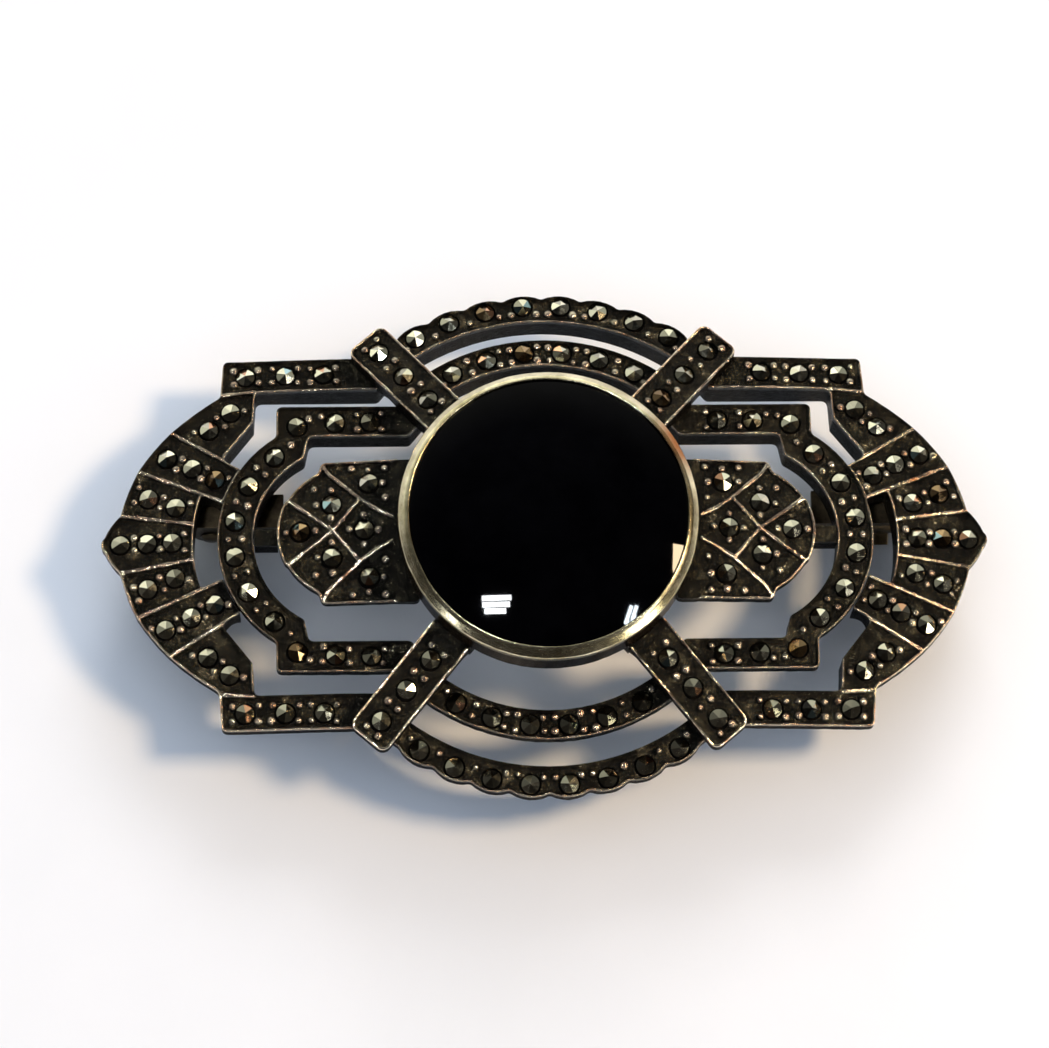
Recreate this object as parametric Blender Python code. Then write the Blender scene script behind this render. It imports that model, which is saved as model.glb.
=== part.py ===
"""Marcasite and onyx brooch, lying on its back.

X runs along the length, Y up the face and +Z out of the face. The origin is on the ground, under the
middle of the brooch. Lengths in this file are millimetres; objects are built in metres.

The frame is a stepped dome of flat silver castings: an outer band (two end fans and two scalloped
arcs), an inner band (two rings and two arcs), four straps that climb over both bands to the bezel,
and two shields that reach out from under it. Each casting holds its marcasites in drilled seats.
On the back a riveted pin swings into a roll-over catch.
"""
from math import atan2, cos, degrees, hypot, pi, radians, sin

import bmesh
import bpy
from mathutils import Matrix, Vector

MM = 0.001

# Heights
PIN_AXIS_Z = 1.3
FRAME_BACK_Z = 2.9
BAND_THICKNESS = 2.0
BAND_TOP_Z = FRAME_BACK_Z + BAND_THICKNESS
RING_RISE = 0.95
RING_TOP_Z = BAND_TOP_Z + RING_RISE
RING_BACK_Z = RING_TOP_Z - 2.0
SOLDER_GAP = 0.03

# Outer band
BAR_INNER_Y = 9.05
BAR_OUTER_Y = 11.05
BAR_END_X = 18.45
FAN_INNER_RADIUS = 8.6
TIP_X = 25.35
TIP_RADIUS = 0.55
OUTER_ARC_INNER_R = 13.3
SCALLOP_RADIUS = 2.2
SCALLOP_CREST_R = 15.05
OUTER_ARC_STONES = 8
OUTER_ARC_STONE_R = 14.33
OUTER_ARC_STEP = 8.8

# Inner band
RING_CENTRE_X = 11.5
RING_OUTER_R = 7.2
RING_HOLE_CENTRE_X = 11.2
RING_HOLE_R = 5.45
RING_BAR_END_X = 15.35
RING_BAR_INNER_Y = 6.1
RING_BAR_OUTER_Y = 7.9
INNER_ARC_INNER_R = 10.28
INNER_ARC_OUTER_R = 11.92
INNER_ARC_STONES = 6
INNER_ARC_STONE_R = 11.13
INNER_ARC_STEP = 11.25

# Straps
STRAP_ANGLE = 49.2
STRAP_HALF_WIDTH = 1.3
STRAP_END_R = 15.75
STRAP_CORNER = 0.5
STRAP_SLOPE = 0.256
STRAP_TOP_AT_STONE = 1.6
STRAP_STONE_RADII = (14.5, 12.32, 10.22)
STRAP_TONGUE_X = 7.3
STRAP_TONGUE_CLEARANCE = 0.5

# Shields
SHIELD_HALF_HEIGHT = 4.2
SHIELD_CORNER = (12.75, 4.15)
SHIELD_STEP = (12.95, 3.52)
SHIELD_NOTCH = (14.68, 1.92)
SHIELD_SHOULDER = (14.85, 1.8)
SHIELD_TIP_X = 15.3
SHIELD_ROOT_X = 7.2
SHIELD_FLAT_X = 8.6
SHIELD_SLOPE = 0.12
SHIELD_TIP_TOP_Z = BAND_TOP_Z + 2.1
SHIELD_THICKNESS = 1.3
TAB_HALF_WIDTH = 0.5
TAB_LOW_Z = BAND_TOP_Z - 0.25
TAB_HIGH_Z = BAND_TOP_Z + 1.1

# Bezel and onyx
BEZEL_BOTTOM_Z = BAND_TOP_Z + 2.93
BEZEL_WALL_R = 8.4
BEZEL_RIM_Z = BAND_TOP_Z + 5.05
BEZEL_LEDGE_R = 7.0
BEZEL_LEDGE_Z = BEZEL_BOTTOM_Z + 0.6
ONYX_RADIUS = 8.0
ONYX_DOME_RISE = 1.3

# Marcasites
STONE_RADIUS = 0.53
SEAT_RADIUS = 0.6
SEAT_DEPTH = 0.55
SEAT_SIDES = 12

# Pin and catch
PIN_Y = 2.6
HINGE_X = -19.2
CATCH_X = 19.7
PIN_LENGTH = 40.5
PIN_RADIUS = 0.4
PIN_TAPER_LENGTH = 9.0
EYE_RADIUS = 0.95
EYE_HALF_WIDTH = 0.45
EAR_GAP_HALF = 0.5
EAR_OUTER_HALF = 1.0
EAR_RADIUS = 1.05
RIVET_RADIUS = 0.38
RIVET_HEAD_RADIUS = 0.62
RIVET_HEAD_HEIGHT = 0.3
PLATE_THICKNESS = 0.47
PLATE_LONG = 4.2
PLATE_SHORT = 2.8
PLATE_TOP_Z = FRAME_BACK_Z - SOLDER_GAP
PLATE_UNDER_Z = PLATE_TOP_Z - PLATE_THICKNESS
CHEEK_RADIUS = 1.3
CHEEK_INNER_X = 0.8
CHEEK_OUTER_X = 1.25
CORE_RADIUS = 0.72
BORE_RADIUS = 0.5
SLEEVE_INNER_R = 0.77
SLEEVE_OUTER_R = 1.06
SLEEVE_HALF_LENGTH = 0.75
SLEEVE_GAP_HALF_ANGLE = 45
LEVER_ANGLE = -150
LEVER_REACH = 1.75
LEVER_HALF_THICKNESS = 0.18
LEVER_HALF_LENGTH = 0.4


# ---------------------------------------------------------------- outlines

def arc(centre_x, radius, start, end, steps):
    """Points on a circle centred on the X axis, from the start angle to the end angle in degrees."""
    angles = [radians(start + (end - start) * i / steps) for i in range(steps + 1)]
    return [(centre_x + radius * cos(a), radius * sin(a)) for a in angles]


def bulged(start, end, height, steps):
    """Points after start up to end, on a shallow curve that stands out to the right of the line."""
    along = Vector(end) - Vector(start)
    outward = Vector((along.y, -along.x)).normalized()
    points = []
    for i in range(1, steps + 1):
        t = i / steps
        point = Vector(start) + along * t + outward * height * 4 * t * (1 - t)
        points.append((point.x, point.y))
    return points


def reflected(points):
    """The same points below the X axis, in reverse order."""
    return [(x, -y) for x, y in reversed(points)]


def on_strap(distance, side=0.0):
    """A point on the top right strap's middle line, or beside it (positive is towards the end fan)."""
    a = radians(STRAP_ANGLE)
    return (distance * cos(a) + side * sin(a), distance * sin(a) - side * cos(a))


def end_fan_outline():
    """Outer band round the right end, from the top strap's middle line to the bottom one's."""
    joint_gap = SOLDER_GAP
    bar_root = [on_strap(13.3, joint_gap), on_strap(13.1, STRAP_HALF_WIDTH), (16.6, BAR_INNER_Y)]
    cell_inside = [(16.7, 7.2), (18.5, 4.9)]
    joint_radius = RING_OUTER_R + SOLDER_GAP
    against_ring = arc(RING_CENTRE_X, joint_radius, 36, 18, 6)
    window = arc(RING_CENTRE_X, FAN_INNER_RADIUS, 18.9, 0, 6)
    inside = bar_root + cell_inside + against_ring + window

    outside = [(TIP_X, 0.0)]
    nose = arc(TIP_X - TIP_RADIUS, TIP_RADIUS, 0, 50, 4)[1:]
    outside += nose
    ridge_ends = [(24.25, 1.72), (23.25, 4.4), (21.4, 6.7), (18.6, 8.8)]
    for ridge_end in ridge_ends:
        outside += bulged(outside[-1], ridge_end, 0.08, 4)
    outside.append((BAR_END_X, BAR_OUTER_Y))
    bar_top_x = BAR_OUTER_Y * cos(radians(STRAP_ANGLE)) / sin(radians(STRAP_ANGLE))
    outside.append((bar_top_x + 2 * joint_gap, BAR_OUTER_Y))
    return outside + inside[:-1] + reflected(inside) + reflected(outside)[:-1]


def outer_arc_outline():
    """Scalloped arc over the top, one lobe to each marcasite."""
    limit = 90 - STRAP_ANGLE
    half_step = radians(OUTER_ARC_STEP) / 2
    lobe_centre_r = SCALLOP_CREST_R - SCALLOP_RADIUS
    outer = []
    for i in range(OUTER_ARC_STONES):
        middle = radians(90 + OUTER_ARC_STEP * (i - (OUTER_ARC_STONES - 1) / 2))
        for j in range(7):
            turn = half_step * (j / 3 - 1)
            reach = lobe_centre_r * cos(turn)
            half_chord = (SCALLOP_RADIUS ** 2 - (lobe_centre_r * sin(turn)) ** 2) ** 0.5
            distance = reach + half_chord
            outer.append((distance * cos(middle + turn), distance * sin(middle + turn)))
    valley_r = hypot(*outer[0])
    end_angle = limit - degrees(SOLDER_GAP / OUTER_ARC_INNER_R)
    first_end, last_end = arc(0, valley_r, 90 - end_angle, 90 + end_angle, 1)
    inner = arc(0, OUTER_ARC_INNER_R, 90 + end_angle, 90 - end_angle, 24)
    return [first_end] + without_repeats(outer) + [last_end] + inner


def without_repeats(points):
    """Points with neighbours closer than a hundredth of a millimetre left out."""
    kept = []
    for point in points:
        if not kept or hypot(point[0] - kept[-1][0], point[1] - kept[-1][1]) > 0.01:
            kept.append(point)
    return kept


def ring_outline():
    """Inner band round the right end: a half ring with a bar at each end of it."""
    corner_angle = degrees(atan2(6.08, RING_BAR_END_X - RING_CENTRE_X))
    bar_top_x = RING_BAR_OUTER_Y * cos(radians(STRAP_ANGLE)) / sin(radians(STRAP_ANGLE))
    outside = arc(RING_CENTRE_X, RING_OUTER_R, 0, corner_angle, 12)
    outside += [(RING_BAR_END_X, RING_BAR_OUTER_Y), (bar_top_x + 2 * SOLDER_GAP, RING_BAR_OUTER_Y)]
    inside = [on_strap(10.0, SOLDER_GAP), (7.75, RING_BAR_INNER_Y), (13.5, RING_BAR_INNER_Y)]
    inside += arc(RING_HOLE_CENTRE_X, RING_HOLE_R, 62, 0, 12)
    return outside + inside[:-1] + reflected(inside) + reflected(outside)[:-1]


def inner_arc_outline():
    """Plain arc between the two top straps, inside the scalloped one."""
    limit = 90 - STRAP_ANGLE - degrees(SOLDER_GAP / INNER_ARC_INNER_R)
    outer = arc(0, INNER_ARC_OUTER_R, 90 - limit, 90 + limit, 24)
    return outer + arc(0, INNER_ARC_INNER_R, 90 + limit, 90 - limit, 24)


def shield_outline():
    """Plan of the right shield: a block that ends in three lobes."""
    tip = (SHIELD_TIP_X, 0.0)
    upper = bulged(tip, SHIELD_SHOULDER, 0.1, 5) + [SHIELD_NOTCH]
    upper += bulged(SHIELD_NOTCH, SHIELD_STEP, 0.16, 5)
    upper += [SHIELD_CORNER, (SHIELD_ROOT_X, SHIELD_HALF_HEIGHT)]
    return [tip] + upper + reflected(upper)


# ---------------------------------------------------------------- where the marcasites sit

def mirrored_pairs(points):
    """Each point, and its reflection in the X axis."""
    return [(x, sign * y) for x, y in points for sign in (1, -1)]


BAR_STONES = mirrored_pairs([(17.14, 10.05), (14.85, 10.08), (12.65, 10.1)])
CELL_STONES = mirrored_pairs([(17.99, 7.83), (19.23, 6.77), (21.63, 5.11), (20.17, 4.45),
                              (18.85, 3.73), (22.66, 2.7), (21.1, 2.11)])
TIP_STONES = [(24.25, 0.0), (22.72, 0.0), (21.28, 0.0)]
RING_STONES = mirrored_pairs([(14.16, 6.72), (15.46, 4.9), (16.94, 3.16), (17.7, 1.05)])
RING_BAR_STONES = mirrored_pairs([(11.99, 6.93), (9.98, 6.98)])
SHIELD_STONES = mirrored_pairs([(10.11, 2.75), (12.2, 1.56)]) + [(10.36, 0.0), (13.98, 0.0)]


def arc_stones(count, radius, step):
    """Evenly stepped places on an arc over the top."""
    turns = [radians(90 + step * (i - (count - 1) / 2)) for i in range(count)]
    return [(radius * cos(turn), radius * sin(turn)) for turn in turns]


# ---------------------------------------------------------------- solids

def material(name, colour, roughness, metallic):
    """A Principled material."""
    result = bpy.data.materials.new(name)
    result.use_nodes = True
    shader = result.node_tree.nodes["Principled BSDF"]
    shader.inputs["Base Color"].default_value = (*colour, 1.0)
    shader.inputs["Roughness"].default_value = roughness
    shader.inputs["Metallic"].default_value = metallic
    result.diffuse_color = (*colour, 1.0)
    return result


def mesh_from(bm, name):
    """A mesh in metres, with its faces pointing out."""
    bmesh.ops.remove_doubles(bm, verts=bm.verts, dist=0.0001)
    bmesh.ops.recalc_face_normals(bm, faces=bm.faces)
    bmesh.ops.scale(bm, vec=(MM, MM, MM), verts=bm.verts)
    mesh = bpy.data.meshes.new(name)
    bm.to_mesh(mesh)
    bm.free()
    return mesh


def add_prism(bm, outline, low, high, turn=None):
    """An outline drawn in XY and raised from low to high; turn moves the finished prism."""
    bottom = [bm.verts.new((x, y, low)) for x, y in outline]
    face = bm.faces.new(bottom)
    raised = bmesh.ops.extrude_face_region(bm, geom=[face])
    top = [v for v in raised["geom"] if isinstance(v, bmesh.types.BMVert)]
    bmesh.ops.translate(bm, vec=(0, 0, high - low), verts=top)
    if turn is not None:
        bmesh.ops.transform(bm, matrix=turn, verts=bottom + top)


def prism(name, outline, low, high, turn=None):
    """A prism as a mesh of its own."""
    bm = bmesh.new()
    add_prism(bm, outline, low, high, turn)
    return mesh_from(bm, name)


def upright():
    """Turns a prism drawn in XY so that it is drawn in XZ and its height runs along Y."""
    return Matrix(((1, 0, 0, 0), (0, 0, 1, 0), (0, 1, 0, 0), (0, 0, 0, 1)))


def crossways():
    """Turns a prism drawn in XY so that it is drawn in YZ and its height runs along X."""
    return Matrix(((0, 0, 1, 0), (1, 0, 0, 0), (0, 1, 0, 0), (0, 0, 0, 1)))


def turned(name, profile, sides, turn=None):
    """A closed (radius, height) profile spun about Z."""
    bm = bmesh.new()
    points = [bm.verts.new((r, 0, z)) for r, z in profile]
    edges = [bm.edges.new((points[i - 1], points[i])) for i in range(len(points))]
    bmesh.ops.spin(bm, geom=points + edges, cent=(0, 0, 0), axis=(0, 0, 1), angle=2 * pi,
                   steps=sides, use_merge=True)
    bmesh.ops.remove_doubles(bm, verts=bm.verts, dist=0.0001)
    bmesh.ops.dissolve_degenerate(bm, edges=bm.edges, dist=0.0001)
    if turn is not None:
        bmesh.ops.transform(bm, matrix=turn, verts=bm.verts)
    return mesh_from(bm, name)


def regular(sides, radius, centre=(0.0, 0.0)):
    """A regular polygon."""
    angles = [2 * pi * (i + 0.5) / sides for i in range(sides)]
    return [(centre[0] + radius * cos(a), centre[1] + radius * sin(a)) for a in angles]


def seat_cutter(places):
    """Drills for marcasites; each place is a matrix on the casting's face, its Z pointing out."""
    bm = bmesh.new()
    for place in places:
        add_prism(bm, regular(SEAT_SIDES, SEAT_RADIUS), -SEAT_DEPTH, 0.4, place)
    return mesh_from(bm, "seat_drills")


def combined(name, base, steps):
    """The base mesh after a list of (operation, other mesh) Boolean steps."""
    helper = bpy.data.objects.new("helper", base)
    bpy.context.collection.objects.link(helper)
    others = []
    for operation, other in steps:
        tool = bpy.data.objects.new("tool", other)
        bpy.context.collection.objects.link(tool)
        others.append(tool)
        step = helper.modifiers.new("step", "BOOLEAN")
        step.operation = operation
        step.solver = "EXACT"
        step.object = tool
    graph = bpy.context.evaluated_depsgraph_get()
    result = bpy.data.meshes.new_from_object(helper.evaluated_get(graph))
    result.name = name
    result.materials.clear()
    for used in [helper] + others:
        used_mesh = used.data
        bpy.data.objects.remove(used)
        bpy.data.meshes.remove(used_mesh)
    return result


def place(name, mesh, finish, location=(0, 0, 0), turn=0.0, smooth=None):
    """An object of its own on a mesh that others may share; turn is about Z, in degrees."""
    if not mesh.materials:
        mesh.materials.append(finish)
    if smooth is not None:
        mesh.shade_smooth()
        mesh.set_sharp_from_angle(angle=radians(smooth))
    result = bpy.data.objects.new(name, mesh)
    result.location = [MM * value for value in location]
    result.rotation_euler = (0, 0, radians(turn))
    bpy.context.collection.objects.link(result)
    return result


# ---------------------------------------------------------------- castings

def flat_places(points, height):
    """Places on a level face."""
    return [Matrix.Translation((x, y, height)) for x, y in points]


def end_fan_mesh():
    blank = prism("end_fan", end_fan_outline(), FRAME_BACK_Z, BAND_TOP_Z)
    stones = BAR_STONES + CELL_STONES + TIP_STONES
    return combined("end_fan", blank, [("DIFFERENCE", seat_cutter(flat_places(stones, BAND_TOP_Z)))])


def outer_arc_mesh():
    blank = prism("outer_arc", outer_arc_outline(), FRAME_BACK_Z, BAND_TOP_Z)
    stones = arc_stones(OUTER_ARC_STONES, OUTER_ARC_STONE_R, OUTER_ARC_STEP)
    return combined("outer_arc", blank, [("DIFFERENCE", seat_cutter(flat_places(stones, BAND_TOP_Z)))])


def ring_mesh():
    blank = prism("ring", ring_outline(), RING_BACK_Z, RING_TOP_Z)
    stones = RING_STONES + RING_BAR_STONES
    return combined("ring", blank, [("DIFFERENCE", seat_cutter(flat_places(stones, RING_TOP_Z)))])


def inner_arc_mesh():
    blank = prism("inner_arc", inner_arc_outline(), RING_BACK_Z, RING_TOP_Z)
    stones = arc_stones(INNER_ARC_STONES, INNER_ARC_STONE_R, INNER_ARC_STEP)
    return combined("inner_arc", blank, [("DIFFERENCE", seat_cutter(flat_places(stones, RING_TOP_Z)))])


def strap_top_z(distance):
    """Height of a strap's face at a distance from the middle of the brooch."""
    return BAND_TOP_Z + STRAP_TOP_AT_STONE + STRAP_SLOPE * (STRAP_STONE_RADII[0] - distance)


def strap_places():
    """Places on a strap that lies along +X; its face falls outwards."""
    lean = Matrix.Rotation(atan2(STRAP_SLOPE, 1), 4, "Y")
    return [Matrix.Translation((r, 0, strap_top_z(r))) @ lean for r in STRAP_STONE_RADII]


def strap_mesh():
    """A strap along +X: two feet on the bands, and a tongue that carries the bezel."""
    foot_z = BAND_TOP_Z + SOLDER_GAP
    step_z = RING_TOP_Z + SOLDER_GAP
    tongue_x = STRAP_TONGUE_X
    tongue_z = BEZEL_BOTTOM_Z - SOLDER_GAP
    under_z = step_z + STRAP_TONGUE_CLEARANCE
    side = [(STRAP_END_R, foot_z), (STRAP_END_R, strap_top_z(STRAP_END_R))]
    side += [(tongue_x, strap_top_z(tongue_x)), (tongue_x, under_z), (9.0, under_z)]
    side += [(10.2, step_z), (12.1, step_z), (13.25, foot_z)]
    blank = prism("strap", side, -STRAP_HALF_WIDTH, STRAP_HALF_WIDTH, upright())
    corner = STRAP_CORNER
    half = STRAP_HALF_WIDTH
    plan = [(tongue_x - 1, half), (tongue_x - 1, -half)]
    for start, sign in ((-90, -1), (0, 1)):
        for i in range(5):
            turn = radians(start + 22.5 * i)
            x = STRAP_END_R - corner + corner * cos(turn)
            plan.append((x, sign * (half - corner) + corner * sin(turn)))
    round_end = prism("strap_plan", plan, 0, 20)
    bezel_room = prism("bezel_room", regular(96, BEZEL_WALL_R + SOLDER_GAP), tongue_z, 20)
    return combined("strap", blank, [("INTERSECT", round_end), ("DIFFERENCE", bezel_room),
                                     ("DIFFERENCE", seat_cutter(strap_places()))])


def shield_top_z(x):
    """Height of the right shield's face."""
    return SHIELD_TIP_TOP_Z + SHIELD_SLOPE * (SHIELD_TIP_X - max(x, SHIELD_FLAT_X))


def shield_places():
    """Places on the right shield; its face falls outwards."""
    lean = Matrix.Rotation(atan2(SHIELD_SLOPE, 1), 4, "Y")
    return [Matrix.Translation((x, y, shield_top_z(x))) @ lean for x, y in SHIELD_STONES]


def shield_mesh():
    """The right shield: a sloping plate that runs under the bezel, and a tab that meets the ring."""
    root_z = shield_top_z(SHIELD_FLAT_X)
    tip_z = shield_top_z(SHIELD_TIP_X + 0.1)
    drop = SHIELD_THICKNESS
    far_x = SHIELD_TIP_X + 0.1
    side = [(SHIELD_ROOT_X - 1, root_z), (SHIELD_ROOT_X - 1, root_z - drop)]
    side += [(SHIELD_FLAT_X, root_z - drop), (far_x, tip_z - drop), (far_x, tip_z), (SHIELD_FLAT_X, root_z)]
    blank = prism("shield", side, -SHIELD_HALF_HEIGHT - 1, SHIELD_HALF_HEIGHT + 1, upright())
    plan = prism("shield_plan", shield_outline(), 0, 20)
    tab_end_x = RING_HOLE_CENTRE_X + RING_HOLE_R - 2 * SOLDER_GAP
    tab = rectangle(SHIELD_TIP_X - 1.0, tab_end_x, -TAB_HALF_WIDTH, TAB_HALF_WIDTH)
    bridge = prism("tab", tab, TAB_LOW_Z, TAB_HIGH_Z)
    return combined("shield", blank, [("INTERSECT", plan), ("UNION", bridge),
                                      ("DIFFERENCE", seat_cutter(shield_places()))])


def bezel_mesh():
    """An open-backed cup with a bearing ledge inside and a lip burnished over the stone."""
    profile = [(BEZEL_LEDGE_R, BEZEL_BOTTOM_Z), (BEZEL_WALL_R, BEZEL_BOTTOM_Z),
               (BEZEL_WALL_R, BEZEL_RIM_Z - 0.1), (BEZEL_WALL_R + 0.08, BEZEL_RIM_Z),
               (BEZEL_WALL_R + 0.03, BEZEL_RIM_Z + 0.12), (ONYX_RADIUS - 0.08, BEZEL_RIM_Z + 0.53),
               (ONYX_RADIUS - 0.16, BEZEL_RIM_Z + 0.5), (ONYX_RADIUS - 0.13, BEZEL_RIM_Z + 0.4),
               (ONYX_RADIUS + 0.03, BEZEL_RIM_Z - 0.05), (ONYX_RADIUS + 0.03, BEZEL_LEDGE_Z),
               (BEZEL_LEDGE_R, BEZEL_LEDGE_Z)]
    return turned("bezel_cup", profile, 96)


def onyx_mesh():
    """A round flat-backed stone with a bevelled edge and a low dome."""
    edge_r = ONYX_RADIUS - 0.17
    edge_z = BEZEL_RIM_Z + 0.38
    dome_r = (edge_r ** 2 + ONYX_DOME_RISE ** 2) / (2 * ONYX_DOME_RISE)
    crown_z = edge_z + ONYX_DOME_RISE
    profile = [(0, BEZEL_LEDGE_Z + SOLDER_GAP), (ONYX_RADIUS, BEZEL_LEDGE_Z + SOLDER_GAP),
               (ONYX_RADIUS, BEZEL_RIM_Z - 0.08)]
    rings = 9
    for i in range(rings + 1):
        r = edge_r * (1 - i / rings)
        profile.append((r, crown_z - dome_r + (dome_r ** 2 - r ** 2) ** 0.5))
    return turned("onyx_cabochon", profile, 72)


def marcasite_mesh():
    """A rose-cut stone: a cone below the girdle and a six-sided crown above it."""
    bm = bmesh.new()
    culet = [bm.verts.new((0.4 * x, 0.4 * y, -0.42)) for x, y in regular(6, STONE_RADIUS)]
    girdle = [bm.verts.new((x, y, -0.08)) for x, y in regular(6, STONE_RADIUS)]
    crown = [bm.verts.new((0.96 * x, 0.96 * y, 0.0)) for x, y in regular(6, STONE_RADIUS)]
    apex = bm.verts.new((0, 0, 0.26))
    bm.faces.new(culet[::-1])
    for low, high in ((culet, girdle), (girdle, crown)):
        for i in range(6):
            bm.faces.new((low[i - 1], low[i], high[i], high[i - 1]))
    for i in range(6):
        bm.faces.new((crown[i - 1], crown[i], apex))
    return mesh_from(bm, "marcasite")


# ---------------------------------------------------------------- pin and catch

def rectangle(low_x, high_x, low_y, high_y):
    """The corners of a rectangle."""
    return [(low_x, low_y), (high_x, low_y), (high_x, high_y), (low_x, high_y)]


def hinge_bracket_mesh():
    """A soldered plate with two ears, drawn round the rivet's axis."""
    rise = PLATE_UNDER_Z - PIN_AXIS_Z
    plan = rectangle(-PLATE_SHORT, PLATE_LONG, -EAR_OUTER_HALF, EAR_OUTER_HALF)
    plate = prism("plate", plan, rise, rise + PLATE_THICKNESS)
    ear = [(-1.25, rise + 0.2)] + arc(0, EAR_RADIUS, 190, 350, 14) + [(1.25, rise + 0.2)]
    steps = []
    for low, high in ((-EAR_OUTER_HALF, -EAR_GAP_HALF), (EAR_GAP_HALF, EAR_OUTER_HALF)):
        steps.append(("UNION", prism("ear", ear, low, high, upright())))
    drill = prism("drill", regular(24, RIVET_RADIUS + 0.02), -2, 2, upright())
    steps.append(("DIFFERENCE", drill))
    return combined("pin_hinge_bracket", plate, steps)


def rivet_mesh():
    """A pin with two domed heads, along Y."""
    inner = EAR_OUTER_HALF + 0.02
    outer = inner + RIVET_HEAD_HEIGHT
    half = [(RIVET_RADIUS, inner), (RIVET_HEAD_RADIUS, inner), (RIVET_HEAD_RADIUS, inner + 0.1),
            (RIVET_HEAD_RADIUS * 0.7, outer - 0.05), (0, outer)]
    profile = [(r, -z) for r, z in reversed(half)] + half
    return turned("pin_hinge_rivet", profile, 24, Matrix.Rotation(pi / 2, 4, "X"))


def pin_mesh():
    """The stem along +X from its eye, drawn round the rivet's axis."""
    root_x = (RIVET_RADIUS + EYE_RADIUS) / 2
    shaft_profile = [(0, root_x), (PIN_RADIUS, root_x), (PIN_RADIUS, PIN_LENGTH - PIN_TAPER_LENGTH),
                     (PIN_RADIUS * 0.8, PIN_LENGTH - 4), (PIN_RADIUS * 0.4, PIN_LENGTH - 0.8),
                     (0, PIN_LENGTH)]
    shaft = turned("shaft", shaft_profile, 16, Matrix.Rotation(pi / 2, 4, "Y"))
    eye = prism("eye", regular(28, EYE_RADIUS), -EYE_HALF_WIDTH, EYE_HALF_WIDTH, upright())
    drill = prism("drill", regular(24, RIVET_RADIUS + 0.05), -2, 2, upright())
    return combined("pin_stem", eye, [("UNION", shaft), ("DIFFERENCE", drill)])


def catch_body_mesh():
    """A soldered plate with two slotted cheeks and a slotted core between them, round the pin's line."""
    rise = PLATE_UNDER_Z - PIN_AXIS_Z
    plan = rectangle(-PLATE_LONG, PLATE_SHORT, -EAR_OUTER_HALF, EAR_OUTER_HALF)
    plate = prism("plate", plan, rise, rise + PLATE_THICKNESS)
    cheek = [(CHEEK_RADIUS * cos(radians(t)), CHEEK_RADIUS * sin(radians(t))) for t in range(-180, 1, 12)]
    cheek += [(1.0, rise + 0.2), (-1.0, rise + 0.2)]
    steps = []
    for low, high in ((-CHEEK_OUTER_X, -CHEEK_INNER_X), (CHEEK_INNER_X, CHEEK_OUTER_X)):
        steps.append(("UNION", prism("cheek", cheek, low, high, crossways())))
    reach = (CHEEK_INNER_X + CHEEK_OUTER_X) / 2
    core = prism("core", regular(32, CORE_RADIUS), -reach, reach, crossways())
    slot = [(BORE_RADIUS * cos(radians(t)), BORE_RADIUS * sin(radians(t))) for t in range(0, 181, 15)]
    slot += [(-BORE_RADIUS, -2), (BORE_RADIUS, -2)]
    groove = prism("groove", slot, -2, 2, crossways())
    return combined("catch_body", plate, steps + [("UNION", core), ("DIFFERENCE", groove)])


def catch_sleeve_mesh():
    """The turning C-shaped sleeve of the catch, with its thumb lever."""
    start = -90 + SLEEVE_GAP_HALF_ANGLE
    end = 270 - SLEEVE_GAP_HALF_ANGLE
    outer = arc(0, SLEEVE_OUTER_R, start, end, 30)
    inner = arc(0, SLEEVE_INNER_R, end, start, 30)
    sleeve = prism("sleeve", outer + inner, -SLEEVE_HALF_LENGTH, SLEEVE_HALF_LENGTH, crossways())
    root_r = (SLEEVE_INNER_R + SLEEVE_OUTER_R) / 2
    arm = rectangle(root_r, LEVER_REACH, -LEVER_HALF_THICKNESS, LEVER_HALF_THICKNESS)
    lever_turn = crossways() @ Matrix.Rotation(radians(LEVER_ANGLE), 4, "Z")
    lever = prism("lever", arm, -LEVER_HALF_LENGTH, LEVER_HALF_LENGTH, lever_turn)
    return combined("catch_sleeve", sleeve, [("UNION", lever)])


# ---------------------------------------------------------------- assembly

def place_marcasites(family, matrices, mesh, finish):
    """One object for each stone, each turned a little further about its own axis than the last."""
    for number, matrix in enumerate(matrices, start=1):
        stone = place(f"{family}_{number}", mesh, finish)
        matrix = matrix @ Matrix.Rotation(radians(23 * number), 4, "Z")
        matrix.translation = matrix.translation * MM
        stone.matrix_world = matrix


def half_turned(matrices):
    """The same places on the casting's twin at the other end."""
    return [Matrix.Rotation(pi, 4, "Z") @ matrix for matrix in matrices]


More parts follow.
